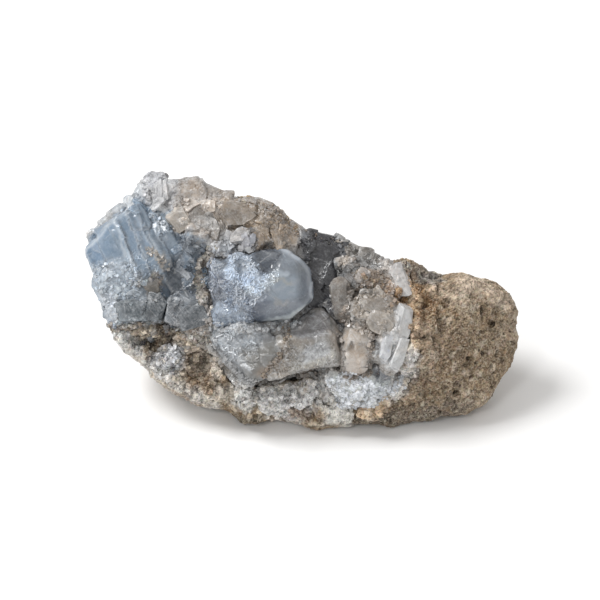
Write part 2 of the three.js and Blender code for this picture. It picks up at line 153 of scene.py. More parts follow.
FLOOR_SIDE = 4.0
floor_mesh = bpy.data.meshes.new("floor")
half = FLOOR_SIDE / 2
floor_corners = [(-half, -half, 0), (half, -half, 0), (half, half, 0), (-half, half, 0)]
floor_mesh.from_pydata(floor_corners, [], [(0, 1, 2, 3)])
floor = bpy.data.objects.new("floor", floor_mesh)
bpy.context.scene.collection.objects.link(floor)

# %% [markdown]
# ## Noise that stays with the stone
# Broken stone has no even surface at any size. Smooth noise gives swells, and packed grains give
# each crystal grain a tilted face of its own. Both read places on the stone, so they are the same
# from every side and in every run.

# %% Smooth noise and packed grains
NOISE_GAIN = 1.7  # brings smooth noise to about -1 to 1


def scramble(cells, seed):
    """A steady whole number for each cell of a lattice, as if drawn by lot."""
    x, y, z = (cells[:, axis].astype(np.int64).astype(np.uint32) for axis in range(3))
    mixed = x * np.uint32(73856093) ^ y * np.uint32(19349663) ^ z * np.uint32(83492791)
    mixed ^= np.uint32((seed * 2654435761) % 2**32)
    mixed ^= mixed >> np.uint32(15)
    mixed *= np.uint32(2246822519)
    mixed ^= mixed >> np.uint32(13)
    mixed *= np.uint32(3266489917)
    return mixed ^ (mixed >> np.uint32(16))


def three_parts(lots):
    """Three fractions from 0 to 1 out of one whole number."""
    parts = [(lots >> np.uint32(shift)) & np.uint32(1023) for shift in (0, 10, 20)]
    return np.stack(parts, axis=1) / 1023.0


def noise(places, size, seed=0):
    """Smooth noise from about -1 to 1, with bumps about size millimetres across."""
    spots = places / size
    cell = np.floor(spots)
    part = spots - cell
    fade = part * part * part * (part * (part * 6 - 15) + 10)
    total = np.zeros(len(places))
    for corner in product((0, 1), repeat=3):
        slope = three_parts(scramble(cell + corner, seed)) * 2 - 1
        weight = np.prod(np.where(corner, fade, 1 - fade), axis=1)
        total += weight * np.sum(slope * (part - corner), axis=1)
    return total * NOISE_GAIN


def clouds(places, size, seed=0, layers=3):
    """Noise on noise: each layer is half as large and half as strong."""
    return sum(noise(places, size / 2**n, seed + n) / 2**n for n in range(layers)) / 1.5


def wandering(places, size, reach, seed):
    """Places pushed about by noise of a size, by up to about a reach."""
    push = [noise(places, size, seed + axis) for axis in range(3)]
    return places + np.stack(push, axis=1) * reach


def grains(places, size, seed=0):
    """Packed grains: a tilted face from -1 to 1, and a lot from 0 to 1 for each grain."""
    spots = places / size
    home = np.floor(spots)
    nearest = np.full(len(places), 9.0)
    number = np.zeros(len(places), np.uint32)
    offset = np.zeros((len(places), 3))
    for step in product((-1, 0, 1), repeat=3):
        cell = home + step
        lots = scramble(cell, seed)
        away = spots - cell - three_parts(lots)
        reach = np.sum(away * away, axis=1)
        nearer = reach < nearest
        nearest = np.where(nearer, reach, nearest)
        number[nearer] = lots[nearer]
        offset[nearer] = away[nearer]
    tilt = three_parts(scramble(number[:, None] * np.ones(3, np.uint32), seed + 7)) * 2 - 1
    return np.sum(offset * tilt, axis=1), number / 2.0**32


# %% [markdown]
# ## Naming regions of the picture
# A stain, a vein or a patch of crystals is a named shape in photo pixels: a ring of corners, or a
# line with a width. The distance to the shape, bent by noise, gives a share from 0 to 1 with an
# irregular edge. A limit in depth keeps the shapes off the back of the stone.

# %% Shares of rings and lines
FRONT_LIMIT = -14.0  # millimetres out of the face


def smooth(values, start, end):
    """0 at start and 1 at end, with a soft turn at both."""
    share = np.clip((values - start) / (end - start), 0, 1)
    return share * share * (3 - 2 * share)


def line_reach(pixels, points, closed):
    """Distance from each pixel to the nearest stretch of a line, and how it winds round the pixel."""
    best = np.full(len(pixels), 1e9)
    inside = np.zeros(len(pixels), bool)
    points = np.asarray(points, float)
    ends = np.roll(points, -1, axis=0) if closed else points[1:]
    for start, end in zip(points, ends):
        run = end - start
        away = pixels - start
        along = np.clip(away @ run / max(run @ run, 1e-9), 0, 1)
        best = np.minimum(best, np.linalg.norm(away - along[:, None] * run, axis=1))
        rising = (start[1] <= pixels[:, 1]) != (end[1] <= pixels[:, 1])
        crossing = start[0] + (pixels[:, 1] - start[1]) * run[0] / (run[1] or 1e-9)
        inside ^= rising & (pixels[:, 0] < crossing)
    return best, inside


class Canvas:
    """The points of a skin while they are painted: where they are, and their colours."""

    def __init__(self, places, ground):
        self.places = places
        self.colours = np.tile(ground, (len(places), 1))
        self.pixels = to_picture(places)
        self.bend = np.column_stack([clouds(places, 4.0, 11, 2), clouds(places, 4.0, 23, 2)]) * 1.6
        self.bend += np.column_stack([noise(places, 1.1, 31), noise(places, 1.1, 37)]) * 0.5
        self.front = smooth(places[:, 2], FRONT_LIMIT - 2, FRONT_LIMIT + 2)

    def share(self, row):
        """Share of each point in a named region: a ring of corners, or a line with a width."""
        pixels = self.pixels + self.bend * row.get("wave", 3.0)
        if "ring" in row:
            reach, inside = line_reach(pixels, row["ring"], True)
            reach = np.where(inside, -reach, reach)
        else:
            reach = line_reach(pixels, row["line"], False)[0] - row["width"] / 2
        soft = row.get("soft", 3.0)
        return (1 - smooth(reach, -soft, soft)) * self.front * row.get("share", 1.0)

    def lay(self, share, colour):
        """Lays a colour over the others by its share."""
        self.colours += (colour - self.colours) * np.reshape(share, (-1, 1))

    def lay_patches(self, rows, where=1.0):
        """Lays named patches in their order."""
        for row in rows:
            self.lay(self.share(row) * where, row["colour"])

    def lighten(self, amount):
        """Multiplies each point's colour by one plus an amount."""
        self.colours *= (1 + amount)[:, None]


# %% [markdown]
# ## Crystals as cut blocks
# A crystal is a block whose edges and corners are cut back by more or less. Its faces are planes, so
# its corners are found where three planes meet and no other plane cuts them off. Each block is a
# little different, which is what makes a cluster look grown.

# %% One block
EDGE_CUTS = np.array([n for n in product((-1, 0, 1), repeat=3) if sum(map(abs, n)) == 2]) / math.sqrt(2)
TIP_CUTS = np.array([n for n in product((-1, 1), repeat=3)]) / math.sqrt(3)
BLOCK_SIDES = np.vstack([np.eye(3), -np.eye(3)])
THREES = np.array([(i, j, k) for i in range(26) for j in range(i) for k in range(j)])


def block_corners(lot, cut=0.8, tilt=0.06, whole=1.1):
    """Corner points of a cut block that fits in a cube from -1 to 1. Edges drawn above 1 stay whole."""
    planes = np.vstack([BLOCK_SIDES, EDGE_CUTS, TIP_CUTS])
    reach = np.concatenate([
        np.ones(6),
        math.sqrt(2) * lot.uniform(cut, whole, len(EDGE_CUTS)),
        math.sqrt(3) * lot.uniform(cut, whole, len(TIP_CUTS)),
    ])
    planes = planes + lot.normal(0, tilt, planes.shape)
    planes /= np.linalg.norm(planes, axis=1)[:, None]
    corners_of = planes[THREES]
    firm = np.abs(np.linalg.det(corners_of)) > 0.05
    corners = np.linalg.solve(corners_of[firm], reach[THREES[firm]][:, :, None])[:, :, 0]
    kept = corners[np.all(corners @ planes.T <= reach + 1e-6, axis=1)]
    return np.unique(np.round(kept, 4), axis=0)


def turned(turn, lean_up, lean_side):
    """Rotation in the face's frame: a turn in the picture, then two leans, in degrees."""
    turn, lean_up, lean_side = (math.radians(angle) for angle in (turn, lean_up, lean_side))
    spin = Euler((lean_up, lean_side, 0)).to_matrix() @ Euler((0, 0, turn)).to_matrix()
    return np.array(spin)


# %% [markdown]
# ## Finding the surface
# A crystal that is placed by its photo pixel has to sit on the stone. A ray from the camera's side
# finds the first solid below that pixel, and how the surface lies there.

# %% Surface under a pixel
RAY_START = 60.0  # millimetres out of the face


def search_trees(pieces):
    """A search tree for each piece, by its name."""
    evaluated = bpy.context.evaluated_depsgraph_get()
    return [(piece.name, BVHTree.FromObject(piece, evaluated)) for piece in pieces]


def ground_under(trees, across, up):
    """The first surface below a place on the face: name, spot, outward direction and face number."""
    start = Vector(from_face([[across, up, RAY_START]])[0])
    found = None
    shortest = 1.0
    for name, tree in trees:
        spot, normal, number, reach = tree.ray_cast(start, Vector(-FACE_AXES[2]))
        if spot is not None and reach < shortest:
            shortest = reach
            found = (name, to_face(spot), FACE_AXES @ np.array(normal), number)
    return found


cad_trees = search_trees(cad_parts.values())

# %% [markdown]
# ## Colours of the stone
# A colour read off the photograph is paint times light. The helper takes it as 0 to 255, makes it
# linear, and divides it by the light that reaches an average face of this scene.

# %% Paint from seen colours
FACE_LIGHT = 0.80
BRIGHTEST = 0.95


def seen(red, green, blue):
    """Linear paint colour for a colour that the photograph shows."""
    share = np.array([red, green, blue]) / 255
    linear = np.where(share <= 0.04045, share / 12.92, ((share + 0.055) / 1.055) ** 2.4)
    return np.minimum(linear / FACE_LIGHT, BRIGHTEST)


# %% [markdown]
# ## Tables of named things
# A stone like this has hundreds of places worth a name. A text table gives each of them a line: a
# name, a colon, and words with their numbers. The corners of a `ring` and the bends of a `line` are
# photo pixels, `seen` is a colour off the photograph, and `soft` and `wave` say how an edge fades
# and wanders. A line that starts with a space belongs to the row above it.

# %% Read a table
def table(text):
    """Rows of a text table: the name of each, and its numbers by their words."""
    rows = []
    for line in text.strip().replace("\n ", " ").splitlines():
        name, facts = line.split(":")
        row = {}
        for word in facts.split():
            if word.isidentifier():
                key = word
                row[key] = []
                continue
            numbers = json.loads("[" + word + "]")
            row[key] += [numbers] if "," in word else numbers
        row = {key: values[0] if len(values) == 1 else values for key, values in row.items()}
        if "seen" in row:
            row["colour"] = seen(*row.pop("seen"))
        rows.append({"name": name, **row})
    return rows


# %% [markdown]
# ## Fine skins
# The CAD solids have a few hundred to a few thousand flat faces each. A voxel remesh gives each of
# them an even skin of small quads, fine enough to carry grain as real shape. The skin then moves
# along its normals, and it never goes below the flat base on which the stone rests.
#
# The CAD edges are a few pixels off here and there. A list of pulls says which pixel of the model
# belongs on which pixel of the photograph, and all skins near it follow together.

# %% Pulls
PULL_REACH = 10.0  # pixels
PULLS = table("""
top edge: moves 79,236 88,231 89,222 93,228 100,208 101,217 112,197 112,207 124,188 127,201 136,177 138,186
 148,173 146,168 164,170 160,174 172,181 172,178 184,179 184,176 208,182 209,177 220,185 220,190 232,188
 232,192 246,196 246,192 268,204 268,200 292,214 292,217 316,225 316,229 328,229 328,232 340,230 340,236
 352,235 352,242 364,240 364,246 376,248 376,253 388,254 388,258
worn end: moves 434,266 435,271 448,268 448,273 462,274 462,270 484,277 484,280 496,286 497,283 504,296
 508,294 511,312 515,311 513,342 517,342 508,362 510,362 500,378 500,379 486,395 488,400 468,407 469,411
lower edge: moves 390,424 390,426 316,427 316,429 256,419 256,423 232,415 232,413 113,320 107,321 119,332
 112,333 124,345 120,345 141,366 144,364 160,380 158,380 182,393 180,394 204,404 201,406
crystals inside the face: moves 200,272 209,272 202,298 210,300 222,247 224,254 236,245 237,253 204,337
 213,342 212,352 220,354 262,391 262,384 290,390 290,379 312,389 312,374 328,374 333,369 414,338 408,338
 413,356 407,356
""")
PULLS = np.vstack([row["moves"] for row in PULLS]).reshape(-1, 4)


def pulled(places):
    """Places moved across and up by the pulls near them, but not on the flat base."""
    pixels = to_picture(places)
    total = np.zeros(len(places))
    shift = np.zeros((len(places), 2))
    for row in PULLS:
        share = np.exp(-np.sum((pixels - row[:2]) ** 2, axis=1) / (2 * PULL_REACH**2))
        total += share
        shift += share[:, None] * (row[2:] - row[:2])
    shift *= (keep_base(places) / np.maximum(total, 1))[:, None]
    moved = places.copy()
    moved[:, :2] += shift * [PIXEL, -PIXEL]
    return moved


# %% [markdown]
# ## Reading and writing a skin
# A skin is read as arrays of places and outward directions, changed as a whole, and put back. Sharp
# edges and seams are found by how far a point stands above or below the mean of its neighbours.
# Sharp edges are lightened as painted highlight. The rock's seams are darkened as painted shade,
# and the crust's seams turn brown with earth.

# %% Helpers for skins
def new_piece(name, mesh):
    """A mesh object in the scene."""
    piece = bpy.data.objects.new(name, mesh)
    bpy.context.scene.collection.objects.link(piece)
    return piece


def fine_skin(node, voxel, blocks=(), soften=0):
    """A new mesh of the node's shape with blocks grown into it, made of quads voxel millimetres wide."""
    rough = new_piece(node + "_rough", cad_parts[node].data.copy())
    rough.data.materials.clear()
    if len(blocks):
        grown = bmesh.new()
        grown.from_mesh(rough.data)
        for corners in blocks:
            added = [grown.verts.new(corner) for corner in from_face(corners)]
            made = bmesh.ops.convex_hull(grown, input=added)
            bmesh.ops.delete(grown, geom=made["geom_interior"], context="VERTS")
        grown.to_mesh(rough.data)
        grown.free()
    remesh = rough.modifiers.new("even quads", "REMESH")
    remesh.mode = "VOXEL"
    remesh.voxel_size = voxel * MM
    if soften:
        ease = rough.modifiers.new("soft edges", "SMOOTH")
        ease.factor = 0.5
        ease.iterations = soften
    seen_by = bpy.context.evaluated_depsgraph_get()
    mesh = bpy.data.meshes.new_from_object(rough.evaluated_get(seen_by))
    bpy.data.objects.remove(rough)
    mesh.name = node + "_skin"
    print(node, "skin:", len(mesh.polygons), "quads,", len(blocks), "blocks grown in")
    return mesh


def read_numbers(items, name, width, kind):
    """One property of all items of a mesh, a row of numbers for each."""
    numbers = np.empty(len(items) * width, kind)
    items.foreach_get(name, numbers)
    return numbers.reshape(-1, width)


def read_skin(mesh):
    """Places in the face's frame and outward directions of a mesh's points."""
    points = read_numbers(mesh.vertices, "co", 3, float)
    normals = read_numbers(mesh.vertex_normals, "vector", 3, np.float32)
    return to_face(points), normals.astype(float) @ FACE_AXES.T


def edges_and_seams(mesh):
    """Two shares for each point: how far it stands on a sharp edge, and how far it lies in a seam."""
    places, normals = read_skin(mesh)
    one, two = read_numbers(mesh.edges, "vertices", 2, np.int32).T
    number = len(places)
    count = np.bincount(one, minlength=number) + np.bincount(two, minlength=number)
    total = [np.bincount(one, places[two, axis], number) + np.bincount(two, places[one, axis], number)
             for axis in range(3)]
    away = places - np.stack(total, axis=1) / np.maximum(count, 1)[:, None]
    reach = np.linalg.norm(places[one] - places[two], axis=1).mean()
    bulge = np.sum(away * normals, axis=1) / reach
    return smooth(bulge, 0.05, 0.22), smooth(-bulge, 0.05, 0.22)


def write_skin(mesh, places):
    """Puts the points back, none of them below the table."""
    world_places = from_face(places)
    world_places[:, 2] = np.maximum(world_places[:, 2], 0)
    mesh.vertices.foreach_set("co", world_places.ravel())
    mesh.update()


def keep_base(places):
    """1 where the skin may move, and 0 on the flat base."""
    return smooth(from_face(places)[:, 2] / MM, 0.1, 1.5)


def write_tint(mesh, colours, name="tint"):
    """Stores a colour for each point, for the shader to read by name."""
    layer = mesh.color_attributes.new(name, "FLOAT_COLOR", "POINT")
    four = np.ones((len(colours), 4), np.float32)
    four[:, :3] = np.maximum(colours, 0) / np.maximum(colours.max(axis=1, keepdims=True) / BRIGHTEST, 1)
    layer.data.foreach_set("color", four.ravel())


def write_etch(mesh, shares):
    """Stores for each point how far it is etched."""
    write_tint(mesh, np.tile(np.reshape(shares, (-1, 1)), (1, 3)), "etch")


# %% [markdown]
# ## The stains and patches of the whole face
# Two tables name the patches of colour on the crust and on the rock. Most rows are a thing that a
# collector would point at, such as a vein, an iron stain or the sugary crystals at the lower left.
# Some rows are painted light and shade instead, as the comments above each table say.
# The large crystals have tables of their own, because their colour stops at their edges.

# %% Named patches of the crust and the rock
# Painted shade in this table: the dark hole, the hole by the smoke and the dark gap between the blocks. The
# deep gully and the blue cavity are darker blue with painted shade, and the smoky ground is dark grey with
# painted shade.
FIELD_PATCHES = table("""
blue ground at the left: seen 132 149 166 ring 84,247 92,234 142,190 182,212 214,244 212,300 190,318
 150,268 112,268 92,268
deep gully: seen 76 88 101 soft 4 ring 170,232 186,236 212,246 212,300 204,312 180,310 166,270
light side of the gully: seen 136 140 144 ring 191,268 200,266 203,290 193,292
grey corner of the lower crystal: seen 126 125 121 ring 199,327 216,327 219,345 204,345
light face in the gully: seen 100 114 128 ring 182,250 196,246 200,262 190,286 182,276
lilac sugar: seen 168 179 190 soft 5 ring 90,268 130,262 160,282 170,300 150,318 120,325 108,310
grey glass below: seen 96 103 110 soft 4 ring 113,300 150,296 206,296 212,322 196,332 150,328 120,326
white shoulder: width 12 seen 172 178 184 line 90,228 112,206 142,186
upper left crust: seen 190 190 192 soft 4 ring 138,168 180,174 186,212 160,210 140,196
grey peak: seen 164 165 170 soft 4 ring 142,164 166,166 168,184 144,190
upper middle crust: seen 174 162 150 soft 5 ring 178,176 230,190 230,226 196,236 176,214
grey crust: seen 124 116 107 soft 5 ring 192,214 226,212 232,232 204,238
warm band under the top: width 10 seen 158 146 134 soft 4 line 196,226 214,236 236,240
upper right crust: seen 156 139 119 soft 5 ring 226,190 300,224 300,244 262,250 230,240 222,214
brown top edge: width 12 seen 138 120 100 soft 4 share 0.8 line 226,192 262,202 296,224
tan crystal: seen 198 186 174 soft 2 wave 1 ring 168,216 184,209 193,220 186,233 174,233
beige crystal: seen 148 139 130 soft 2 wave 1 ring 222,206 236,203 247,210 244,222 226,224
tan patch above the sugar: width 10 seen 176 167 156 line 142,288 158,276 156,296
tan vein: width 11 seen 160 150 140 line 214,252 205,266 203,284 206,300 214,320 192,328
glinting bits: seen 166 165 166 soft 4 ring 206,236 250,230 260,250 232,256 206,252
light grains by the frost: seen 208 212 218 ring 212,242 234,240 236,254 216,258
dark hole: width 5 seen 74 72 72 soft 2 line 251,229 255,238
smoky ground: seen 66 66 70 soft 4 ring 300,228 336,234 348,262 346,290 334,324 308,330 300,300
tan crust right of smoke: seen 190 179 167 ring 332,242 354,245 354,260 344,268 336,262
grey edge: seen 130 126 121 ring 340,236 382,250 378,268 354,264
grey shade: seen 100 96 91 ring 354,258 376,262 372,272 356,272
brown shade: seen 108 97 86 soft 4 ring 346,286 370,284 372,300 362,314 348,314
smoke above the blocks: seen 64 62 59 ring 326,264 340,266 358,268 366,280 354,294 346,282 328,278
tan crystal by the smoke: seen 140 133 126 soft 2 ring 331,284 344,278 348,312 336,318
pale field: seen 154 144 133 soft 5 ring 344,296 392,290 412,292 412,372 380,404 336,404 328,370 346,328
white block: width 15 seen 222 217 213 line 390,268 398,276 404,290
brown grain between: seen 140 123 106 soft 4 ring 352,272 390,272 398,294 360,296
hole by the smoke: width 7 seen 78 76 76 soft 2 line 336,318 341,324
sugar patch: seen 220 227 240 soft 5 ring 330,374 352,366 396,376 402,392 372,412 338,410
blue cavity: seen 86 90 98 ring 372,360 392,360 392,381 374,384
dark gap between the blocks: seen 92 90 88 ring 367,338 378,336 378,366 368,364
""")
# Painted light and shade in this table: the dark hollow, the grey flank and the dark foot along the bottom,
# the dark crevice under the shelf and the darker middle of the worn end are painted shade, and the light
# shoulder and the light top of the end are painted light.
ROCK_PATCHES = table("""
rust by the blades: seen 150 124 98 soft 5 wave 6 share 0.6 ring 394,286 408,278 424,284 432,300 424,322
 412,332 404,318 410,304
first rust line: width 2.5 seen 98 66 36 soft 1.5 wave 5 line 392,288 408,300 418,314 420,326
second rust line: width 2.5 seen 104 72 42 soft 1.5 wave 5 line 402,276 416,286 430,300
third rust line: width 2 seen 104 72 42 soft 1.5 wave 5 line 410,302 412,316 407,332
fourth rust line: width 2 seen 100 76 52 soft 1.5 wave 5 line 418,302 432,308 440,324
shadowed slab: width 8 seen 104 103 104 soft 3 wave 2 line 414,275 440,281
grey flank: seen 124 113 100 soft 7 ring 340,408 400,408 470,400 460,420 340,432
iron stain: seen 128 98 68 soft 8 share 0.55 ring 400,272 424,272 446,288 440,312 416,322 404,300
stain below: width 12 seen 126 102 78 soft 7 share 0.4 line 418,318 426,330
earthy pockets: seen 188 176 160 soft 5 ring 122,330 150,326 186,338 216,352 222,372 206,392 180,382
 168,360 140,346
grey flank of the lower left: seen 186 187 186 soft 4 ring 106,322 128,330 144,346 150,366 132,362 114,346
first pocket: width 16 seen 116 104 90 soft 4 line 151,343 161,358
dark hollow: width 13 seen 78 71 64 soft 4 line 162,330 170,340 170,354
grey sliver: width 5 seen 150 154 160 soft 2 line 136,350 150,338
white lump: seen 182 184 188 soft 4 ring 146,360 164,346 184,344 192,356 178,374 158,378
dark earth: seen 184 172 158 soft 5 ring 190,346 206,350 212,376 200,392 186,380 180,370
granular earth: seen 136 119 101 soft 5 ring 184,374 212,370 220,392 196,398
tan piece: seen 182 174 164 ring 208,352 222,354 230,372 216,380
pale lump: seen 226 226 224 soft 4 ring 230,378 256,372 262,392 250,412 232,404
pale strip: seen 248 240 228 soft 5 ring 258,390 330,376 332,400 300,422 262,416
lower left flank: width 14 seen 216 213 208 soft 5 share 0.8 line 126,350 168,382 212,404
light ledge: seen 200 192 180 soft 4 ring 214,384 234,384 236,402 214,400
dark foot: width 7 seen 104 94 80 line 236,417 252,421 262,418
dark crevice: width 6 seen 98 90 80 line 258,384 290,376 318,368
rust spot: width 12 seen 122 100 78 share 0.8 line 296,412 312,416
pale rim: width 11 seen 198 174 146 share 0.9 line 398,262 411,282 415,300 409,325 412,345 405,375 395,392
 375,408 345,412
light rim beside the blades: width 7 seen 236 226 212 line 407,324 409,340 407,352
grey rim at the sugar: width 15 seen 232 230 228 soft 5 share 0.85 line 414,356 407,376 394,392
pale foot: seen 226 224 218 soft 5 ring 322,402 350,402 354,424 324,424
warm rock behind the rim: width 16 seen 176 158 138 soft 6 share 0.7 line 420,330 436,336 426,362
dark slab: width 10 seen 118 108 98 share 0.8 line 390,260 428,272
grey crystal in the rock: seen 126 121 116 ring 414,270 446,272 440,284 420,282
light shoulder: width 14 seen 196 178 158 soft 5 share 0.7 line 434,290 462,296
darker middle of the rock: seen 122 103 84 soft 9 wave 4 share 0.5 ring 430,324 468,328 470,356 450,372
 430,370
light top of the end: width 16 seen 216 198 178 soft 6 share 0.7 line 464,284 484,288 502,302
""")

# %% [markdown]
# ## The marks of the large crystals
# Each large crystal has its own milky clouds, growth bands and cleavage edges, and hollows, rims
# and feet whose darker or lighter colour is painted light and shade. They are laid in order, so a
# later row covers an earlier one where both have a share.

# %% Named patches of the large crystals
# The dark step lines are painted shade, and the edges of the steps and of the corner are painted highlight.
# The deep gully is darker blue with painted shade.
LEFT_PATCHES = table("""
left face: seen 120 140 159 ring 103,250 108,226 124,216 132,250 118,258
corner face: seen 110 132 154 soft 2 wave 1 ring 83,247 92,237 104,246 103,264 90,268
edge of the corner: width 3 seen 178 188 198 soft 2 wave 1 line 86,250 104,232 116,218
pale upper edge: width 9 seen 146 155 165 line 96,226 118,207 146,192
blue upper right: seen 128 143 158 soft 4 ring 150,208 170,206 176,238 178,262 160,262 150,236
white flecks: seen 160 169 178 ring 155,214 167,216 170,230 160,232
first step: width 3 seen 96 109 122 soft 2 wave 2 line 119,221 126,240 137,268
second step: width 2.5 seen 102 115 128 soft 2 wave 2 line 130,210 139,232 151,256
third step: width 2.5 seen 104 117 130 soft 2 wave 2 line 146,208 156,236 164,252
edge of the first step: width 2.5 seen 180 190 200 soft 1.5 wave 2 share 0.8 line 115,222 122,242 132,268
edge of the second step: width 2 seen 172 183 194 soft 1.5 wave 2 share 0.7 line 127,212 135,234 147,258
edge of the third step: width 2 seen 166 178 190 soft 1.5 wave 2 share 0.7 line 143,210 152,238 161,256
tan patch: width 6 wave 6 share 0.8 seen 150 144 136 line 151,250 158,256 167,266
lilac sugar: seen 170 181 192 soft 5 ring 88,268 106,262 130,260 152,282 160,300 140,316 118,324 100,306
tan above the sugar: width 9 wave 6 share 0.8 seen 158 150 140 line 142,286 158,276 156,296
grey glass below: seen 94 101 107 soft 4 ring 122,306 150,298 196,300 200,330 126,330
white flank: seen 200 207 216 soft 4 ring 98,290 116,294 122,312 110,322 104,308
deep gully: seen 62 71 81 soft 4 wave 2 ring 166,262 190,254 194,270 195,292 200,306 176,308 164,286
earth on the lower edge: width 9 seen 148 136 122 soft 4 wave 6 line 110,327 130,329 160,329 196,333
""")
# The rim of the dome and the bright ridge are painted highlight, the light foot is painted light where the
# dome casts shade, and the dark notch and the three hollows are painted shade.
MIDDLE_PATCHES = table("""
top of the dome: seen 130 138 147 soft 4 ring 268,250 296,252 306,266 300,284 272,276
heart of the dome: seen 150 161 172 soft 5 ring 270,276 300,276 302,300 280,308 266,296
foot of the dome: seen 132 140 151 soft 5 ring 266,304 304,298 292,322 264,326
rim of the dome: width 3.5 seen 180 188 198 soft 2 wave 1 line 284,252 300,260 309,274 309,298 300,312
 286,321
white streak: width 11 seen 206 217 232 soft 4 line 252,290 264,284 274,276
white arch: width 4 seen 186 196 206 soft 2 wave 2 line 257,270 262,280 272,276 286,274
frost: seen 174 189 208 soft 5 wave 5 ring 224,258 240,254 254,260 270,276 262,292 242,288 228,274
lower frost: seen 160 173 190 soft 5 wave 5 ring 214,300 242,294 252,314 236,328 216,322
dark margin: seen 86 94 110 soft 4 wave 5 ring 209,262 224,264 224,286 232,298 213,302
dark wedge: seen 100 108 122 soft 4 wave 4 ring 250,302 264,296 264,318 250,326
dark notch: seen 78 84 93 soft 3 wave 1.5 ring 254,250 272,249 284,256 276,272 262,276
bright ridge: width 6 seen 182 194 210 line 218,256 232,253 248,256
dark left edge: width 5 seen 102 110 124 line 211,262 210,284 214,304
first wisp: width 2.5 seen 176 176 170 soft 2 wave 3 share 0.8 line 276,281 284,279 291,284
second wisp: width 3 seen 166 168 168 soft 2 wave 4 share 0.8 line 276,300 284,304 292,302
third wisp: width 3 seen 170 178 188 soft 3 wave 5 share 0.6 line 268,290 282,290 298,280
light foot: width 6 seen 214 222 232 soft 2 wave 2 line 252,327 270,322 290,318 303,308
hollow in the frost: seen 104 114 129 soft 5 wave 5 ring 228,284 246,288 248,306 236,312 226,298
left hollow: seen 112 122 136 soft 4 wave 4 ring 212,258 228,256 230,272 214,276
hollow above it: seen 122 133 147 soft 4 wave 4 ring 232,260 256,258 258,270 240,272
orange stain: width 7 seen 180 154 132 soft 2 line 284,326 292,334
""")
# The light top is painted light where the dome above casts its shade.
LOWER_PATCHES = table("""
pale upper part: seen 150 155 160 soft 5 ring 214,324 260,322 262,346 232,358 212,340
grey heart: seen 134 132 127 soft 6 ring 240,350 276,340 282,366 256,382
dark stripe: width 3 seen 110 112 114 soft 2 wave 1 line 214,340 228,356 244,372
light stripe: width 3 seen 186 190 194 soft 2 wave 1 line 218,334 234,352 250,368
tan side: width 8 seen 188 154 124 soft 3 share 0.8 line 276,326 290,334 284,350
light top: seen 235 236 238 soft 4 ring 246,312 296,312 300,325 284,331 250,334
tan foot: width 9 seen 160 142 124 soft 4 share 0.8 line 262,372 276,366 282,352
""")
# The curl of light on the glass is a painted highlight, a ring glint, and the dark lower edge is painted
# shade over the crevice below the shelf.
SHELF_PATCHES = table("""
dark glass behind: seen 106 104 104 soft 4 ring 290,314 326,312 332,330 318,338 290,338
curl in the glass: width 2.5 seen 158 158 160 soft 1.5 wave 3 share 0.6 line 302,324 308,317 316,317 321,324
pink tan end: seen 176 166 156 soft 4 ring 330,330 341,326 345,350 336,354 330,342
mottled foot: seen 164 159 150 soft 4 wave 5 ring 278,350 300,344 306,366 282,376
white end: seen 168 169 170 ring 302,348 324,339 332,354 318,362 304,366
first ray: width 2 seen 214 216 218 soft 1.5 wave 1.5 share 0.8 line 304,364 312,352 322,342
second ray: width 2 seen 206 208 210 soft 1.5 wave 1.5 share 0.8 line 310,362 320,353 330,352
third ray: width 2 seen 190 192 196 soft 1.5 wave 1.5 share 0.7 line 298,358 306,349 310,342
pale lower strip: width 6 seen 186 181 170 soft 2 wave 2 share 0.8 line 264,378 292,371 322,359 332,353
tan left side: seen 150 140 128 soft 4 ring 272,350 286,338 296,352 286,374 264,382
dark lower edge: width 4 seen 112 106 98 line 262,384 292,377 320,369
""")
# The dark grey of this crystal is its own tone and painted shade. Its paler foot is painted light where the
# dome casts shade.
SMOKY_AND_SHADE_PATCHES = table("""
black heart: seen 60 60 64 soft 5 ring 302,240 330,240 336,262 330,286 310,282
paler foot: seen 92 93 97 soft 6 ring 306,300 334,300 336,330 308,334
""")
# The gap in front of the blades is painted shade, and the light foot of the pink tan block is painted light
# where the block casts shade.
PALE_PATCHES = table("""
clouded block: seen 156 145 132 ring 356,296 392,290 400,310 372,334 358,316
first growth band: width 3 seen 188 180 170 soft 1.5 wave 1 line 362,298 378,294 394,300
second growth band: width 2.5 seen 148 136 124 soft 1.5 wave 1 line 362,306 380,300 394,308
third growth band: width 3 seen 188 180 170 soft 1.5 wave 1 line 366,316 380,310 390,314
rust on the pale blocks: seen 170 138 104 soft 4 wave 6 share 0.85 ring 380,288 398,284 414,284 416,310
 404,317 390,302
rust line on them: width 2.5 seen 106 74 44 soft 1.5 wave 5 line 384,288 396,294 406,304 410,314
white blades: seen 238 235 231 ring 396,308 410,306 412,344 396,370 386,366 392,340
grey white blade: seen 205 206 208 soft 2 ring 379,340 392,334 392,360 380,362
pink tan block: seen 176 164 151 ring 343,330 366,326 368,372 346,374
light foot of that block: seen 196 184 172 soft 7 ring 344,352 366,350 368,378 345,380
gap in front of the blades: seen 92 90 88 soft 2 ring 368,338 379,336 380,354 370,358
soft grey crystal: seen 142 141 140 soft 4 ring 312,326 342,326 342,350 316,350
""")
CRYSTAL_PATCHES = [LEFT_PATCHES, MIDDLE_PATCHES, LOWER_PATCHES, SHELF_PATCHES, SMOKY_AND_SHADE_PATCHES, PALE_PATCHES]
print("patches named:", sum(map(len, [FIELD_PATCHES, ROCK_PATCHES] + CRYSTAL_PATCHES)))

# %% [markdown]
# ## Shader bench
# A shader is arithmetic on sockets. The small class below lets it be written as such, so that
# `1 - mask * 0.5` adds the Math nodes by itself. Every other node comes from one method.

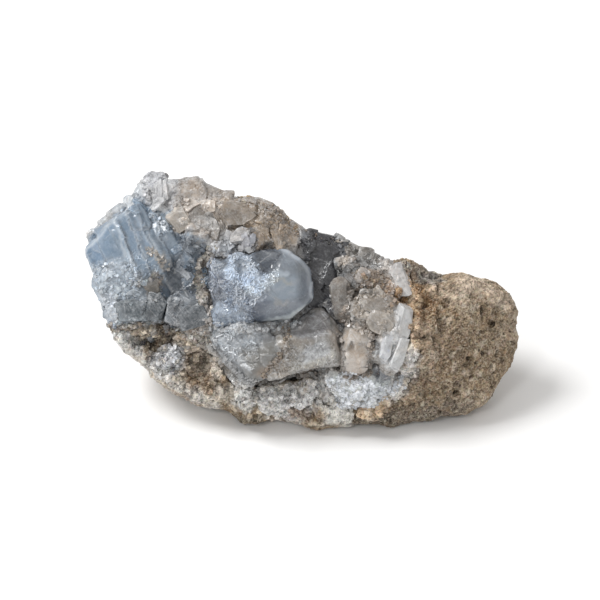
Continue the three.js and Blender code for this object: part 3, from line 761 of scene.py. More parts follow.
# %% Wire and Bench
class Wire:
    """An output socket that can be added to, multiplied and so on."""

    def __init__(self, bench, socket):
        self.bench = bench
        self.socket = socket

    def __add__(self, other):
        return self.bench.maths("ADD", self, other)

    def __rsub__(self, other):
        return self.bench.maths("SUBTRACT", other, self)

    def __mul__(self, other):
        return self.bench.maths("MULTIPLY", self, other)

    __radd__ = __add__
    __rmul__ = __mul__


class Bench:
    """A new material and the nodes that are laid on it."""

    def __init__(self, name):
        self.material = bpy.data.materials.new(name)
        self.material.use_nodes = True
        self.tree = self.material.node_tree
        self.tree.nodes.clear()

    def node(self, kind, settings, sockets, output=0):
        """Adds a node: its settings first, then the values or links of its sockets."""
        made = self.tree.nodes.new(kind)
        for name, value in settings.items():
            if name == "stops":
                for _ in value[2:]:
                    made.color_ramp.elements.new(1.0)
                for stop, (place, colour) in zip(made.color_ramp.elements, value):
                    stop.position = place
                    stop.color = colour
            else:
                setattr(made, name, value)
        for name, value in sockets.items():
            if isinstance(value, Wire):
                self.tree.links.new(value.socket, made.inputs[name])
            else:
                made.inputs[name].default_value = value
        return Wire(self, made.outputs[output])

    def maths(self, operation, first, second):
        """One sum of two values."""
        return self.node("ShaderNodeMath", {"operation": operation}, {0: first, 1: second})

    def mix(self, first, second, share, blend="MIX"):
        """Two colours in one, by a share from 0 to 1."""
        settings = {"data_type": "RGBA", "blend_type": blend, "clamp_factor": True}
        return self.node("ShaderNodeMix", settings, {0: share, 6: first, 7: second}, 2)

    def ramp(self, value, *stops):
        """A value through a ramp of grey stops, each a place and a level."""
        rows = [(place, (level, level, level, 1)) for place, level in stops]
        return self.node("ShaderNodeValToRGB", {"stops": rows}, {"Fac": value})

    def rise(self, value, low, high):
        """0 where a value is below one level, 1 where it is above another."""
        return self.ramp(value, (low, 0.0), (high, 1.0))

    def place(self):
        """Places on the stone in metres."""
        return self.node("ShaderNodeTexCoord", {}, {}, "Object")

    def speckle(self, size, detail=2.0, rough=0.5):
        """Noise from 0 to 1 with bumps of a size in millimetres."""
        sockets = {"Vector": self.place(), "Scale": 1 / (size * MM), "Detail": detail, "Roughness": rough}
        return self.node("ShaderNodeTexNoise", {}, sockets)

    def vector(self, operation, first, second, output="Vector"):
        """One sum of two vectors."""
        return self.node("ShaderNodeVectorMath", {"operation": operation}, {0: first, 1: second}, output)

    def bent(self, size, reach):
        """Places pushed about by noise of a size, by up to a reach, both in millimetres."""
        sockets = {"Vector": self.place(), "Scale": 1 / (size * MM)}
        push = self.node("ShaderNodeTexNoise", {}, sockets, "Color")
        push = self.vector("SUBTRACT", push, (0.5, 0.5, 0.5))
        return self.vector("ADD", self.place(), self.vector("MULTIPLY", push, (2 * reach * MM,) * 3))

    def plates(self, size, bend=0.12):
        """Packed plates: a relief with a tilt for each, a lot for each, and the distance to the next."""
        sockets = {"Vector": self.bent(size * 0.8, size * bend), "Scale": 1 / (size * MM)}
        spot = self.node("ShaderNodeTexVoronoi", {}, sockets, "Position")
        lot = Wire(self, spot.socket.node.outputs["Color"])
        reach = self.node("ShaderNodeTexVoronoi", {"feature": "DISTANCE_TO_EDGE"}, sockets)
        tilt = self.vector("SUBTRACT", lot, (0.5, 0.5, 0.5))
        away = self.vector("SUBTRACT", sockets["Vector"], spot)
        relief = self.vector("DOT_PRODUCT", away, tilt, "Value") * (1 / (size * MM))
        return relief, lot * 1.0, reach

    def scratches(self, long, thin, turn):
        """Noise drawn out along one direction of the face, with lengths in millimetres."""
        along = math.cos(turn) * FACE_AXES[0] + math.sin(turn) * FACE_AXES[1]
        across = -math.sin(turn) * FACE_AXES[0] + math.cos(turn) * FACE_AXES[1]
        place = self.bent(4.0, 0.5)
        parts = [self.vector("DOT_PRODUCT", place, tuple(axis), "Value") * (1 / (size * MM))
                 for axis, size in ((along, long), (across, thin), (FACE_AXES[2], thin))]
        drawn = self.node("ShaderNodeCombineXYZ", {}, {0: parts[0], 1: parts[1], 2: parts[2]})
        sockets = {"Vector": drawn, "Scale": 1.0, "Detail": 3.0, "Roughness": 0.6}
        return self.node("ShaderNodeTexNoise", {}, sockets)

    def tint(self, name="tint"):
        """The colour that the mesh carries at each point."""
        return self.node("ShaderNodeVertexColor", {"layer_name": name}, {}, "Color")

    def bump(self, height, depth, strength=1.0, below=None):
        """Fine relief of a depth in millimetres, on top of another bump if there is one."""
        sockets = {"Height": height, "Distance": depth * MM, "Strength": strength}
        if below is not None:
            sockets["Normal"] = below
        return self.node("ShaderNodeBump", {}, sockets, "Normal")

    def finish(self, sockets, volume=None):
        """The surface shader and the output node."""
        surface = self.node("ShaderNodeBsdfPrincipled", {}, sockets, "BSDF")
        ends = {"Surface": surface}
        if volume is not None:
            ends["Volume"] = self.node("ShaderNodeVolumeAbsorption", {}, volume, "Volume")
        made = self.tree.nodes.new("ShaderNodeOutputMaterial")
        for name, wire in ends.items():
            self.tree.links.new(wire.socket, made.inputs[name])
        return self.material


# %% [markdown]
# ## Finish of the host rock
# Weathered limestone is dull and grainy: light and dark grains side by side, and small pits where
# grains fell out. The colour comes from the skin. The shader adds the grain, and its dark specks sit
# where the fine relief dips, so they are dark grains and painted shade of small pits.

# %% Limestone
PALE_MINERAL = (0.80, 0.72, 0.60, 1)
IRON_BROWN = (0.50, 0.32, 0.17, 1)


def limestone():
    """Rough, granular sandy rock."""
    bench = Bench("limestone_grain")
    fine = bench.speckle(0.50, 3.0, 0.65)
    sockets = {"Vector": bench.place(), "Scale": 1 / (0.9 * MM), "Detail": 3.0}
    other = bench.node("ShaderNodeTexNoise", {}, sockets, "Color")
    coarse = bench.speckle(2.2, 4.0, 0.7)
    # Dark specks sit where the fine relief dips: dark grains and painted shade of small pits.
    dark = bench.ramp(fine, (0.34, 0.22), (0.47, 1.0))
    light = bench.rise(fine, 0.53, 0.63)
    colour = bench.mix(bench.tint(), dark, 0.85, "MULTIPLY")
    colour = bench.mix(colour, PALE_MINERAL, light * 0.50)
    sockets = {"Vector": bench.place(), "Scale": 1 / (1.0 * MM)}
    cells = bench.node("ShaderNodeTexVoronoi", {}, sockets, "Color")
    colour = bench.mix(colour, bench.ramp(cells, (0.25, 0.72), (0.7, 1.0)), 0.8, "MULTIPLY")
    colour = bench.mix(colour, bench.ramp(coarse, (0.36, 0.60), (0.52, 1.0)), 0.8, "MULTIPLY")
    stain = bench.rise(bench.speckle(3.4, 3.0, 0.6), 0.54, 0.72)
    colour = bench.mix(colour, IRON_BROWN, stain * 0.30)
    colour = bench.mix(colour, other, 0.12, "OVERLAY")
    below = bench.bump(bench.plates(1.3)[0], 0.9)
    relief = bench.bump(fine, 0.50, 1.0, below)
    sockets = {"Base Color": colour, "Roughness": 0.9, "Specular IOR Level": 0.25, "Normal": relief}
    return bench.finish(sockets)


# %% [markdown]
# ## Finish of the crystals
# Celestite is glass-clear where it is whole and milky where it is full of cracks. The shader is
# partly clear: some light goes through and is tinted by the depth of the crystal, and some comes
# back from the clouds in it. Where the mesh says that the skin is etched, it is rougher, and its
# colour takes flecks of a glint colour as painted glints and dark specks as painted shade.

# %% Crystal glass
WHITE_CLOUD = (0.80, 0.84, 0.88, 1)
WARM_CLOUD = (1.05, 0.91, 0.76, 1)  # what the colour is multiplied by in earthy parts
NEUTRAL_GLINT = (0.90, 0.91, 0.93, 1)
BLUE_GLINT = (0.76, 0.86, 0.97, 1)
CRYSTAL_IOR = 1.62
GLOW = 0.15
GLOW_REACH = 1.0  # millimetres that light spreads inside


def crystal_glass(name, clear, cloudy, drain, density, glint, marked=1.0, warm=0.4):
    """Partly clear crystal: calm and glossy, or plated, etched and glinting where the mesh says so."""
    bench = Bench(name)
    etch = bench.tint("etch")
    busy = bench.ramp(etch, (0.03, 0.10), (0.30, 1.0))
    veil = bench.rise(bench.speckle(3.2, 5.0, 0.68), 0.44, 0.66)
    tone = bench.speckle(4.6, 3.0, 0.6)
    patchy = bench.rise(bench.speckle(4.2, 3.0, 0.6), 0.44, 0.56)
    relief, lot, reach = bench.plates(3.8)
    small_relief, small_lot, _ = bench.plates(1.25)
    rims = bench.ramp(reach, (0.0, 1.0), (0.035, 0.0)) * patchy
    lines = bench.rise(bench.scratches(5.0, 0.36, -0.9), 0.54, 0.62) * patchy
    needles = bench.rise(bench.scratches(2.2, 0.36, 0.7), 0.53, 0.60)
    crossed = bench.rise(bench.scratches(2.0, 0.36, -0.7), 0.54, 0.61)
    fine = bench.speckle(0.55, 3.0, 0.7)
    painted_glint = bench.rise(fine, 0.56, 0.63) * busy
    shadow = bench.ramp(fine, (0.35, 1.0), (0.45, 0.0)) * busy
    frost = bench.rise(bench.speckle(1.9, 4.0, 0.7), 0.42, 0.60)
    glitter = bench.rise(bench.speckle(0.42, 3.0, 0.65), 0.48, 0.60)
    white = (needles * 0.60 + crossed * 0.50 + glitter * 0.20) * (frost * 0.9 + 0.1)
    colour = bench.mix(bench.tint(), WHITE_CLOUD, veil * cloudy)
    shade = (lot * 0.6 + 0.72) * (small_lot * 0.4 + 0.82)
    colour = bench.mix(colour, shade, busy * 0.6, "MULTIPLY")
    earthy = bench.rise(tone, 0.52, 0.66) * warm
    colour = bench.mix(colour, WARM_CLOUD, earthy, "MULTIPLY")
    colour = bench.mix(colour, 1 - shadow * (marked * 0.45), 1.0, "MULTIPLY")
    # Flecks of the glint colour are painted glints, plate rims take it as painted highlight, and the scratch
    # lines take it as pale scratches.
    colour = bench.mix(colour, glint, painted_glint * (marked * 0.40))
    colour = bench.mix(colour, glint, (rims * 0.50 * busy + lines * 0.35) * marked)
    colour = bench.mix(colour, frost * 0.60 + 0.55, etch, "MULTIPLY")
    colour = bench.mix(colour, glint, white * etch)
    below = bench.bump(relief * busy, 1.6)
    below = bench.bump(small_relief * (etch * 0.8 + 0.1), 0.9, 1.0, below)
    relief = bench.bump(glitter * (etch * 0.9 + 0.02), 0.10, 0.8, below)
    rough = bench.speckle(1.6, 2.0) * 0.12 + etch * 0.12 + 0.13
    sockets = {
        "Base Color": colour, "Roughness": rough, "IOR": CRYSTAL_IOR, "Transmission Weight": clear,
        "Normal": relief, "Subsurface Weight": GLOW, "Subsurface Radius": (1.0, 1.1, 1.2),
        "Subsurface Scale": GLOW_REACH * MM,
    }
    return bench.finish(sockets, {"Color": drain, "Density": density})


# %% [markdown]
# ## The host rock
# The nodule is worn round on its right end and back, and broken rough along the front and lower
# left. The skin takes three sizes of grain, and pits where the photograph shows them. Its pits,
# cracks and seams are darkened as painted shade, and its sharp edges lightened as painted highlight.

# %% Host rock skin
ROCK_VOXEL = 0.54
ROCK_GROUND = seen(145, 127, 105)
ROCK_PALE = seen(176, 160, 141)
ROCK_DARK = seen(106, 92, 76)
PIT_SHADE = seen(84, 73, 62)
PALE_GRAIN = seen(206, 196, 180)
ROCK_LIFT = 0.02
ROCK_PITS = table("pits: at 493,324 467,358 476,363 482,353 471,377 455,392 492,387 440,412")[0]["at"]
PIT_RADIUS = 2.9  # pixels
WORN_END = (425, 470)  # pixels across where the rock turns from broken to worn
FIELD_DEPTH = (-9, -5)  # millimetres out of the face where the crust's colours begin
ROCK_GROOVES = table("""
groove: width 2.5 soft 2 wave 1 line 481,306 482,319
crack: width 2 soft 2 wave 1.5 line 328,386 322,396 309,406
""")
ROCK_FORMS = table("""
first pocket: rise -0.8 ring 148,340 162,340 168,352 160,364 150,356
hollow beside it: rise -0.3 ring 128,334 144,332 146,346 134,348
dark earth: rise -0.5 ring 190,348 206,352 210,374 198,388 186,376
white lump: rise -0.6 ring 150,358 166,346 184,346 190,358 176,372 158,374
pale lump: rise -0.4 ring 232,380 256,376 260,392 248,408 234,400
crevice: width 6 rise -1.4 line 258,384 290,377 318,370
ledge: width 5 rise -1 line 392,262 424,274
rim: width 13 rise 1.7 soft 5 line 404,270 413,284 416,300 413,325 414,345 407,375 397,392 377,410 345,414
""")


def rock_skin():
    """The rock with its grain and pits, and a colour for each point."""
    mesh = fine_skin("host_rock", ROCK_VOXEL)
    places, normals = read_skin(mesh)
    places = pulled(places)
    canvas = Canvas(places, ROCK_GROUND)
    face, lot = grains(places, 1.7, 5)
    small_face, small_lot = grains(places, 0.8, 9)
    lumps = grains(places, 5.0, 15)[0]
    worn = 1 - 0.5 * smooth(canvas.pixels[:, 0], *WORN_END)
    high = clouds(places, 5.5, 3) * 0.55 + (lumps * 0.7 + face * 0.55 + small_face * 0.25) * worn
    high += canvas.front * 0.2
    for row in ROCK_FORMS:
        high += canvas.share(row) * row["rise"]
    holes = np.zeros(len(places))
    for pit in ROCK_PITS:
        reach = np.linalg.norm(canvas.pixels - pit, axis=1)
        holes = np.maximum(holes, (1 - smooth(reach, PIT_RADIUS * 0.3, PIT_RADIUS)) * canvas.front)
    for row in ROCK_GROOVES:
        holes = np.maximum(holes, canvas.share(row))
    tiny = smooth(noise(places, 1.7, 41), 0.42, 0.62) * smooth(noise(places, 9.0, 43), -0.1, 0.3)
    holes = np.maximum(holes, tiny * 0.6)
    high -= holes * 1.1
    write_skin(mesh, places + normals * (high * keep_base(places))[:, None])
    edges, seams = edges_and_seams(mesh)
    canvas.lay(smooth(clouds(places, 14.0, 51), 0.0, 0.7) * 0.6, ROCK_PALE)
    canvas.lay(smooth(clouds(places, 9.0, 57), 0.1, 0.8) * 0.5, ROCK_DARK)
    canvas.lay_patches(FIELD_PATCHES, smooth(places[:, 2], *FIELD_DEPTH))
    canvas.lay_patches(ROCK_PATCHES)
    canvas.lighten((small_lot - 0.5) * 0.50 + (lot - 0.5) * 0.30 + ROCK_LIFT)
    canvas.lay(smooth(lot, 0.86, 0.90) * 0.45, PALE_GRAIN)
    # Sharp edges are lightened as painted highlight, and seams are darkened as painted shade.
    canvas.lighten(edges * 0.25 - seams * 0.40)
    # Pits, grooves, cracks and small dips are darkened as painted shade.
    canvas.lay(holes * 0.75, PIT_SHADE)
    write_tint(mesh, canvas.colours)
    return mesh


def add_piece(name, mesh, material, replaced=None):
    """Puts a finished piece on the stone, and hides the CAD part that it replaces."""
    piece = new_piece(name, mesh)
    piece.data.materials.append(material)
    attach(piece, "root")
    if replaced:
        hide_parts(replaced)
    return piece


limestone_grain = limestone()
add_piece("host_rock_broken", rock_skin(), limestone_grain, "host_rock")

# %% [markdown]
# ## The crust of small crystals
# Intergrown crystals a few millimetres across line the hollow. The CAD crust has the larger ones.
# Blocks of two to eight millimetres are grown into it here, before it gets its skin, so that all of
# them run into each other as real ones do.

# %% Blocks grown into the crust
CRUST_RING = table("""
crust: ring 92,236 146,184 182,188 214,198 270,212 296,232 366,256 400,268 408,292 404,330 408,350 400,372
 386,390 364,402 338,404 322,398 318,384 300,390 262,392 236,388 222,372 204,350 186,342 160,324 124,322
 108,306 92,262
""")[0]
CLEAR_FACES = table("""
gully: soft 4 ring 172,230 188,236 212,246 208,262 200,286 206,306 196,312 176,308 162,262
smoky hollow: soft 4 ring 300,228 334,234 338,262 336,288 334,324 306,332 298,300
cavity: soft 3 ring 372,360 392,360 392,381 374,384
""")
GULLY_BLOCKS = table("""
upper block of the gully: at 184,250 size 4.5 9 6 turn 24 lean -8 -22 out 0.6
block beside it: at 189,257 size 4 7 6 turn -14 lean 6 18 out 0.2
broad block of the gully: at 180,276 size 6 9 6 turn 34 lean 8 -26 out 0.8
lower block of the gully: at 190,284 size 5 9 6 turn -24 lean -8 24 out 0.4
flat block at its foot: at 186,302 size 9 5 6 turn 8 lean 16 -8 out 0.8
left block of the cavity: at 374,372 size 5 4 4 turn 30 lean 10 -14 out 0.5
right block of the cavity: at 386,374 size 4 5 4 turn -12 lean -8 14 out 0.5
""")
BLOCK_COUNT = 80
BLOCK_SIZES = (3.5, 8.0)  # millimetres
BLOCK_SPREAD = 0.22  # how far they lean off the ground's direction
BLOCK_SINK = 0.84  # share of its height that a block has below the surface
SPARE_DRAWS = 12  # pixels drawn for each one that is wanted, because many fall outside


def stand_up(normal, lot, spread):
    """A turn whose third axis is near the surface's outward direction."""
    axis = normal + lot.normal(0, spread, 3)
    axis /= np.linalg.norm(axis)
    side = np.cross(axis, lot.normal(0, 1, 3))
    side /= np.linalg.norm(side)
    return np.column_stack([side, np.cross(axis, side), axis])


def random_pixels(lot, row, number):
    """Pixels drawn by lot inside a ring, or along a line with a width."""
    corners = np.array(row.get("ring") or row["line"], float)
    margin = row.get("width", 0) / 2
    drawn = lot.uniform(corners.min(axis=0) - margin, corners.max(axis=0) + margin, (number * SPARE_DRAWS, 2))
    reach, inside = line_reach(drawn, corners, "ring" in row)
    kept = inside if "ring" in row else reach < margin
    return drawn[kept][:number]


def is_clear(pixel):
    """True where the photograph shows smooth faces instead of grains."""
    spot = np.array([pixel])
    return any(line_reach(spot, row["ring"], True)[1][0] for row in CLEAR_FACES)


def hand_block(row, number):
    """A block at a photo pixel: its size in millimetres, turn and leans, and how far it stands out."""
    across, up = from_picture([row["at"]])[0, :2]
    height = ground_under(cad_trees, across, up)[1][2]
    corners = block_corners(np.random.default_rng(number)) * np.array(row["size"]) / 2
    middle = np.array([across, up, height + row["out"] - row["size"][2] / 2])
    return corners @ turned(row["turn"], *row["lean"]).T + middle


def grown_blocks():
    """Cut blocks on the bare parts of the crust, each leaning about as the ground does."""
    lot = np.random.default_rng(12)
    blocks = [hand_block(row, number) for number, row in enumerate(GULLY_BLOCKS)]
    for pixel in random_pixels(lot, CRUST_RING, BLOCK_COUNT):
        across, up = from_picture([pixel])[0, :2]
        found = ground_under(cad_trees, across, up)
        if found is None or found[0] != "crystal_crust" or is_clear(pixel):
            continue
        size = lot.uniform(*BLOCK_SIZES) * np.array([1, lot.uniform(0.5, 1.0), lot.uniform(0.7, 1.1)])
        middle = found[1] + found[2] * size[2] * (0.5 - BLOCK_SINK)
        blocks.append(block_corners(lot) * size / 2 @ stand_up(found[2], lot, BLOCK_SPREAD).T + middle)
    return blocks


# %% [markdown]
# ## The skin of the crust
# The crust takes broken plates of about five and two millimetres, except where the photograph shows
# smooth faces. Its seams turn brown with earth, and its edges are lightened as painted highlight.

# %% Crust skin
CRUST_VOXEL = 0.46
CRUST_GROUND = seen(168, 164, 160)
CRYSTAL_LIFT = 0.02
BROWN_SEAM = seen(128, 108, 88)
PAINTED_EDGE_HIGHLIGHT = seen(222, 222, 222)
WARM_START = (176, 214)  # pixels across where the seams turn brown
CRUST_FORMS = table("""
ground between the pale blocks: rise 0.8 soft 6 ring 346,298 392,294 392,372 346,378
gully: rise -0.8 soft 5 ring 176,244 208,250 200,300 180,304
rim: width 8 rise -0.6 soft 5 line 398,262 411,282 414,300 411,325 412,345 405,375 395,392 375,408 345,412
 322,408
""")


def crust_skin():
    """The crust with its blocks, faces and colours."""
    mesh = fine_skin("crystal_crust", CRUST_VOXEL, grown_blocks(), 3)
    places, normals = read_skin(mesh)
    places = pulled(places)
    canvas = Canvas(places, CRUST_GROUND)
    clear = np.zeros(len(places))
    for row in CLEAR_FACES:
        clear = np.maximum(clear, canvas.share(row))
    bent = wandering(places, 3.0, 0.6, 55)
    plate, plate_lot = grains(bent, 4.6, 60)
    face, lot = grains(bent, 2.1, 61)
    small_face, small_lot = grains(places, 1.0, 67)
    rough = smooth(noise(places, 4.5, 63), -0.25, 0.35) * (1 - clear * 0.9)
    high = plate * 0.7 * (1 - clear * 0.4) + face * 0.20 * (0.35 + 0.65 * rough) + small_face * 0.10 * rough
    for row in CRUST_FORMS:
        high += canvas.share(row) * row["rise"]
    write_skin(mesh, places + normals * (high * keep_base(places))[:, None])
    edges, seams = edges_and_seams(mesh)
    canvas.lay_patches(FIELD_PATCHES + ROCK_PATCHES + PALE_PATCHES)
    uneven = (small_lot - 0.5) * 0.20 * rough + (lot - 0.5) * 0.18 + (plate_lot - 0.5) * 0.22
    canvas.lighten(uneven + CRYSTAL_LIFT)
    warm = smooth(noise(places, 8.0, 65), -0.2, 0.3) * smooth(canvas.pixels[:, 0], *WARM_START)
    canvas.lay(seams * warm * 0.55, BROWN_SEAM)
    # Sharp edges are lightened as painted highlight.
    canvas.lay(edges * 0.28, PAINTED_EDGE_HIGHLIGHT)
    write_tint(mesh, canvas.colours)
    write_etch(mesh, 0.04 + ((1 - clear) * 0.14 + rough * 0.40))
    return mesh


milky_crust = crystal_glass("milky_crust", 0.40, 0.35, (0.84, 0.86, 0.88, 1), 40.0, NEUTRAL_GLINT)
crust = add_piece("crust_of_small_crystals", crust_skin(), milky_crust, "crystal_crust")

# %% [markdown]
# ## The large crystals
# Each large crystal gets a skin of its own. The left one is stepped along its cleavage, the middle
# one is a smooth dome with an etched side, and the dark one is nearly bare. Each row of the table
# names a CAD node. Its ring or line is the part that is etched, and `plates` gives the size and the
# height of its broken plates in millimetres.

# %% Skins of the large crystals
CRYSTAL_VOXEL = 0.40
STEP_PITCH = 3.4  # millimetres between the steps of the left crystal
STEP_ACROSS = np.array([0.93, 0.37, 0.0])
STEP_START = 38.2  # millimetres
STEP_RISE = 0.7  # millimetres
STEP_RING = table("""
stepped part: soft 6 ring 112,216 150,198 178,208 184,262 144,280 124,264
""")[0]
MIDDLE_FORMS = table("""
dark notch: rise -2.2 soft 5 wave 1 ring 252,240 270,240 282,252 274,270 264,276 256,262
""")
# The dark grey of the smoky crystal is its own tone and painted shade.
CRYSTALS = table("""
left_crystal: seen 124 142 160 busy 0.05 soften 2 plates 11 0.5 stepped 1 share 0.6
 ring 84,268 106,258 132,262 150,276 166,300 166,330 110,330
middle_crystal: seen 137 146 159 busy 0.03 soften 30 plates 12 0.4 soft 4 share 0.6
 ring 196,240 250,246 258,270 276,276 270,292 256,300 252,340 196,334
lower_crystal: seen 150 151 152 busy 0.06 soften 30 plates 7 0.7 soft 5 share 0.45
 ring 206,316 270,316 262,346 236,362 206,344
shelf_crystal: seen 144 139 132 busy 0.06 soften 40 plates 6 0.8 soft 6 share 0.5
 ring 268,348 334,340 336,368 262,386
smoky_crystal: seen 70 70 74 busy 0.10 soften 3 plates 7 1.4 edge 0.08 share 0.4 width 14 line 308,318 332,322
pale_crystals: seen 168 162 155 busy 0.14 soften 6 plates 5 1.3 soft 8 share 0.4
 ring 376,290 420,290 420,380 376,380
""")
CRYSTAL_PIECES = [
    ("left_blue_crystal", "blue_celestite"),
    ("middle_blue_crystal", "blue_celestite"),
    ("lower_blue_crystal", "blue_celestite"),
    ("shelf_pale_crystal", "pale_celestite"),
    ("dark_smoky_crystal", "smoky_celestite"),
    ("pale_block_crystals", "pale_celestite"),
]
BLUE_DRAIN = (0.55, 0.68, 0.80, 1)  # the colour that is left of light after a way through
PALE_DRAIN = (0.74, 0.73, 0.70, 1)
# The smoky glass and its dark drain stand for the crystal's own dark tone and painted shade.
SMOKY_AND_SHADE_DRAIN = (0.40, 0.42, 0.46, 1)
glasses = {
    "blue_celestite": crystal_glass("blue_glass", 0.45, 0.22, BLUE_DRAIN, 60.0, BLUE_GLINT, 0.6, 0.08),
    "pale_celestite": crystal_glass("pale_glass", 0.35, 0.30, PALE_DRAIN, 50.0, NEUTRAL_GLINT),
    "smoky_celestite": crystal_glass("smoky_glass", 0.50, 0.06, SMOKY_AND_SHADE_DRAIN, 80.0, NEUTRAL_GLINT, 0.2, 0.1),
}


def steps(places):
    """Cleavage steps of the left crystal: a height from 0 to 1 that climbs slowly and drops at once."""
    jag = grains(places, 3.2, 81)[1] - 0.5
    along = places @ STEP_ACROSS + STEP_START + noise(places, 8.0, 83) * 0.7 + jag * 1.0
    number = np.floor(along / STEP_PITCH)
    tall = 0.35 + 0.65 * three_parts(scramble(number[:, None] * np.ones(3), 89))[:, 0]
    step = along / STEP_PITCH - number
    return tall * step * (1 - smooth(step, 0.90, 1.0))


def crystal_skin(row, patches):
    """A large crystal with its broken plates, steps, etched places and colours."""
    mesh = fine_skin(row["name"], CRYSTAL_VOXEL, (), row["soften"])
    places, normals = read_skin(mesh)
    places = pulled(places)
    canvas = Canvas(places, row["colour"])
    etched = canvas.share(row)
    plate_size, plate_height = row["plates"]
    bent = wandering(places, 5.0, 0.7, 85)
    plate, plate_lot = grains(bent, plate_size, 88)
    face, lot = grains(places, 2.0, 71)
    small_face, small_lot = grains(places, 0.9, 77)
    high = 0.25 + clouds(places, 5.0, 73) * 0.12 + plate * plate_height
    high += etched * (face * 0.40 + small_face * 0.25)
    moved = places + normals * high[:, None]
    for form in MIDDLE_FORMS if row["name"] == "middle_crystal" else ():
        moved[:, 2] += canvas.share(form) * form["rise"]
    canvas.lighten(clouds(places, 3.0, 79) * 0.10 + (plate_lot - 0.5) * 0.16)
    canvas.lay_patches(patches)
    if row.get("stepped"):
        facing = smooth(normals[:, 2], 0.2, 0.6) * canvas.share(STEP_RING)
        step = steps(places)
        moved[:, 2] += facing * STEP_RISE * (step - 0.3)
        # Each step is lightened near its top edge as painted highlight and darkened at its foot as painted
        # shade.
        canvas.lighten(facing * (smooth(step, 0.62, 0.80) * 0.50 - (1 - smooth(step, 0.0, 0.16)) * 0.30))
    write_skin(mesh, moved)
    edges, seams = edges_and_seams(mesh)
    canvas.lighten(etched * ((small_lot - 0.5) * 0.60 + (lot - 0.5) * 0.25) + CRYSTAL_LIFT)
    # Sharp edges are lightened as painted highlight.
    canvas.lay(edges * row.get("edge", 0.30), PAINTED_EDGE_HIGHLIGHT)
    write_tint(mesh, canvas.colours)
    write_etch(mesh, row["busy"] + etched * 0.85)
    return mesh


for row, patches, (name, slot) in zip(CRYSTALS, CRYSTAL_PATCHES, CRYSTAL_PIECES):
    piece = add_piece(name, crystal_skin(row, patches), glasses[slot], row["name"])
    piece.data.shade_smooth()

# %% [markdown]
# ## Thousands of small crystals
# Sugary crystals, needles, broken plates and crumbs cover the crust and the seams between the large
# crystals. Each zone says how many there are and how long, in millimetres. A few larger blocks stand
# out one by one in the photograph, so each of them is named, with its middle, its size, its turn in
# the picture and how far it stands out.

# %% Zones
CRUST_ZONE = {**CRUST_RING, "number": 3600, "size": (0.5, 1.2), "patchy": 0.0, "crust_only": True}
# The grains at the foot of the middle crystal are painted light where the dome casts shade.
GRAIN_ZONES = [CRUST_ZONE] + table("""
lilac sugar: number 420 size 0.4 1.1 patchy 0 lift 0.1 ring 88,268 106,262 134,264 160,284 160,304 140,316
 118,324 100,306
glinting bits: width 12 number 60 size 0.6 1.6 lift 0.15 line 206,248 226,244 256,246
side of the vein: width 9 number 160 size 0.5 1.3 line 215,251 206,264 203,280 207,302 216,322 192,330
foot of the middle crystal: width 9 number 150 size 0.4 1.2 seen 196 199 202 line 212,326 240,328 268,327
 296,322
foot of the lower crystal: width 8 number 90 size 0.5 1.3 line 208,334 228,362 252,384
seam of the lower crystals: width 7 number 90 size 0.4 1.1 line 286,326 288,346 264,374
specks on the left crystal: number 40 size 0.4 1 lift 0.1 ring 153,212 168,214 174,232 160,236
first tan patch: width 8 number 60 size 0.3 1 seen 160 154 146 line 151,250 158,256 167,266
white lump: number 170 size 0.4 1.2 lift 0.1 ring 146,360 164,346 188,344 194,358 178,376 156,378
pale lump: number 140 size 0.4 1.1 lift 0.15 ring 230,378 262,378 262,400 246,412 230,402
grains between the right blocks: number 560 size 0.5 1.3 ring 340,244 384,256 396,268 394,300 384,336
 372,340 344,326 338,300
seam beside the pink tan block: width 5 number 90 size 0.4 1.1 seen 150 142 134 line 338,330 342,352 342,372
seams of the pale blocks: width 6 number 130 size 0.5 1.5 seen 156 145 134 line 342,300 344,322 368,326
 372,344 368,374 346,378
""")
FROST_ZONES = table("""
sugar patch: number 640 size 0.4 1.1 thick 0.9 slim 0.6 seen 206 209 214 ring 326,380 345,371 364,374
 374,385 392,385 402,372 405,387 372,408 338,408
lilac sugar: number 90 size 0.4 1 thick 0.9 slim 0.6 patchy 0.1 ring 88,268 106,262 134,264 160,284 150,300
 120,310 100,300
bright flecks of the top: number 44 size 0.4 0.9 thick 0.9 slim 0.6 patchy 0.1 ring 120,210 150,184 236,196
 240,236 190,212
frost of the middle crystal: number 1900 size 0.6 2.2 lift 0.22 patchy -0.08 sink 0.6 ring 213,260 240,252
 254,262 270,278 262,294 254,306 252,328 234,334 214,326 211,292
white streak: width 9 number 130 size 0.6 1.8 lift 0.25 line 250,292 262,286 276,276
scratches of the lower crystal: number 160 size 0.8 2.4 slim 0.12 patchy -0.1 ring 214,336 246,332 262,352
 250,374 232,362
scratches of the shelf: number 240 size 0.5 1.5 lift 0.2 patchy -0.1 ring 276,352 300,346 330,340 334,362
 280,378
needles by the steps: number 60 size 0.8 2 ring 128,252 146,250 160,272 146,284 124,268
""")
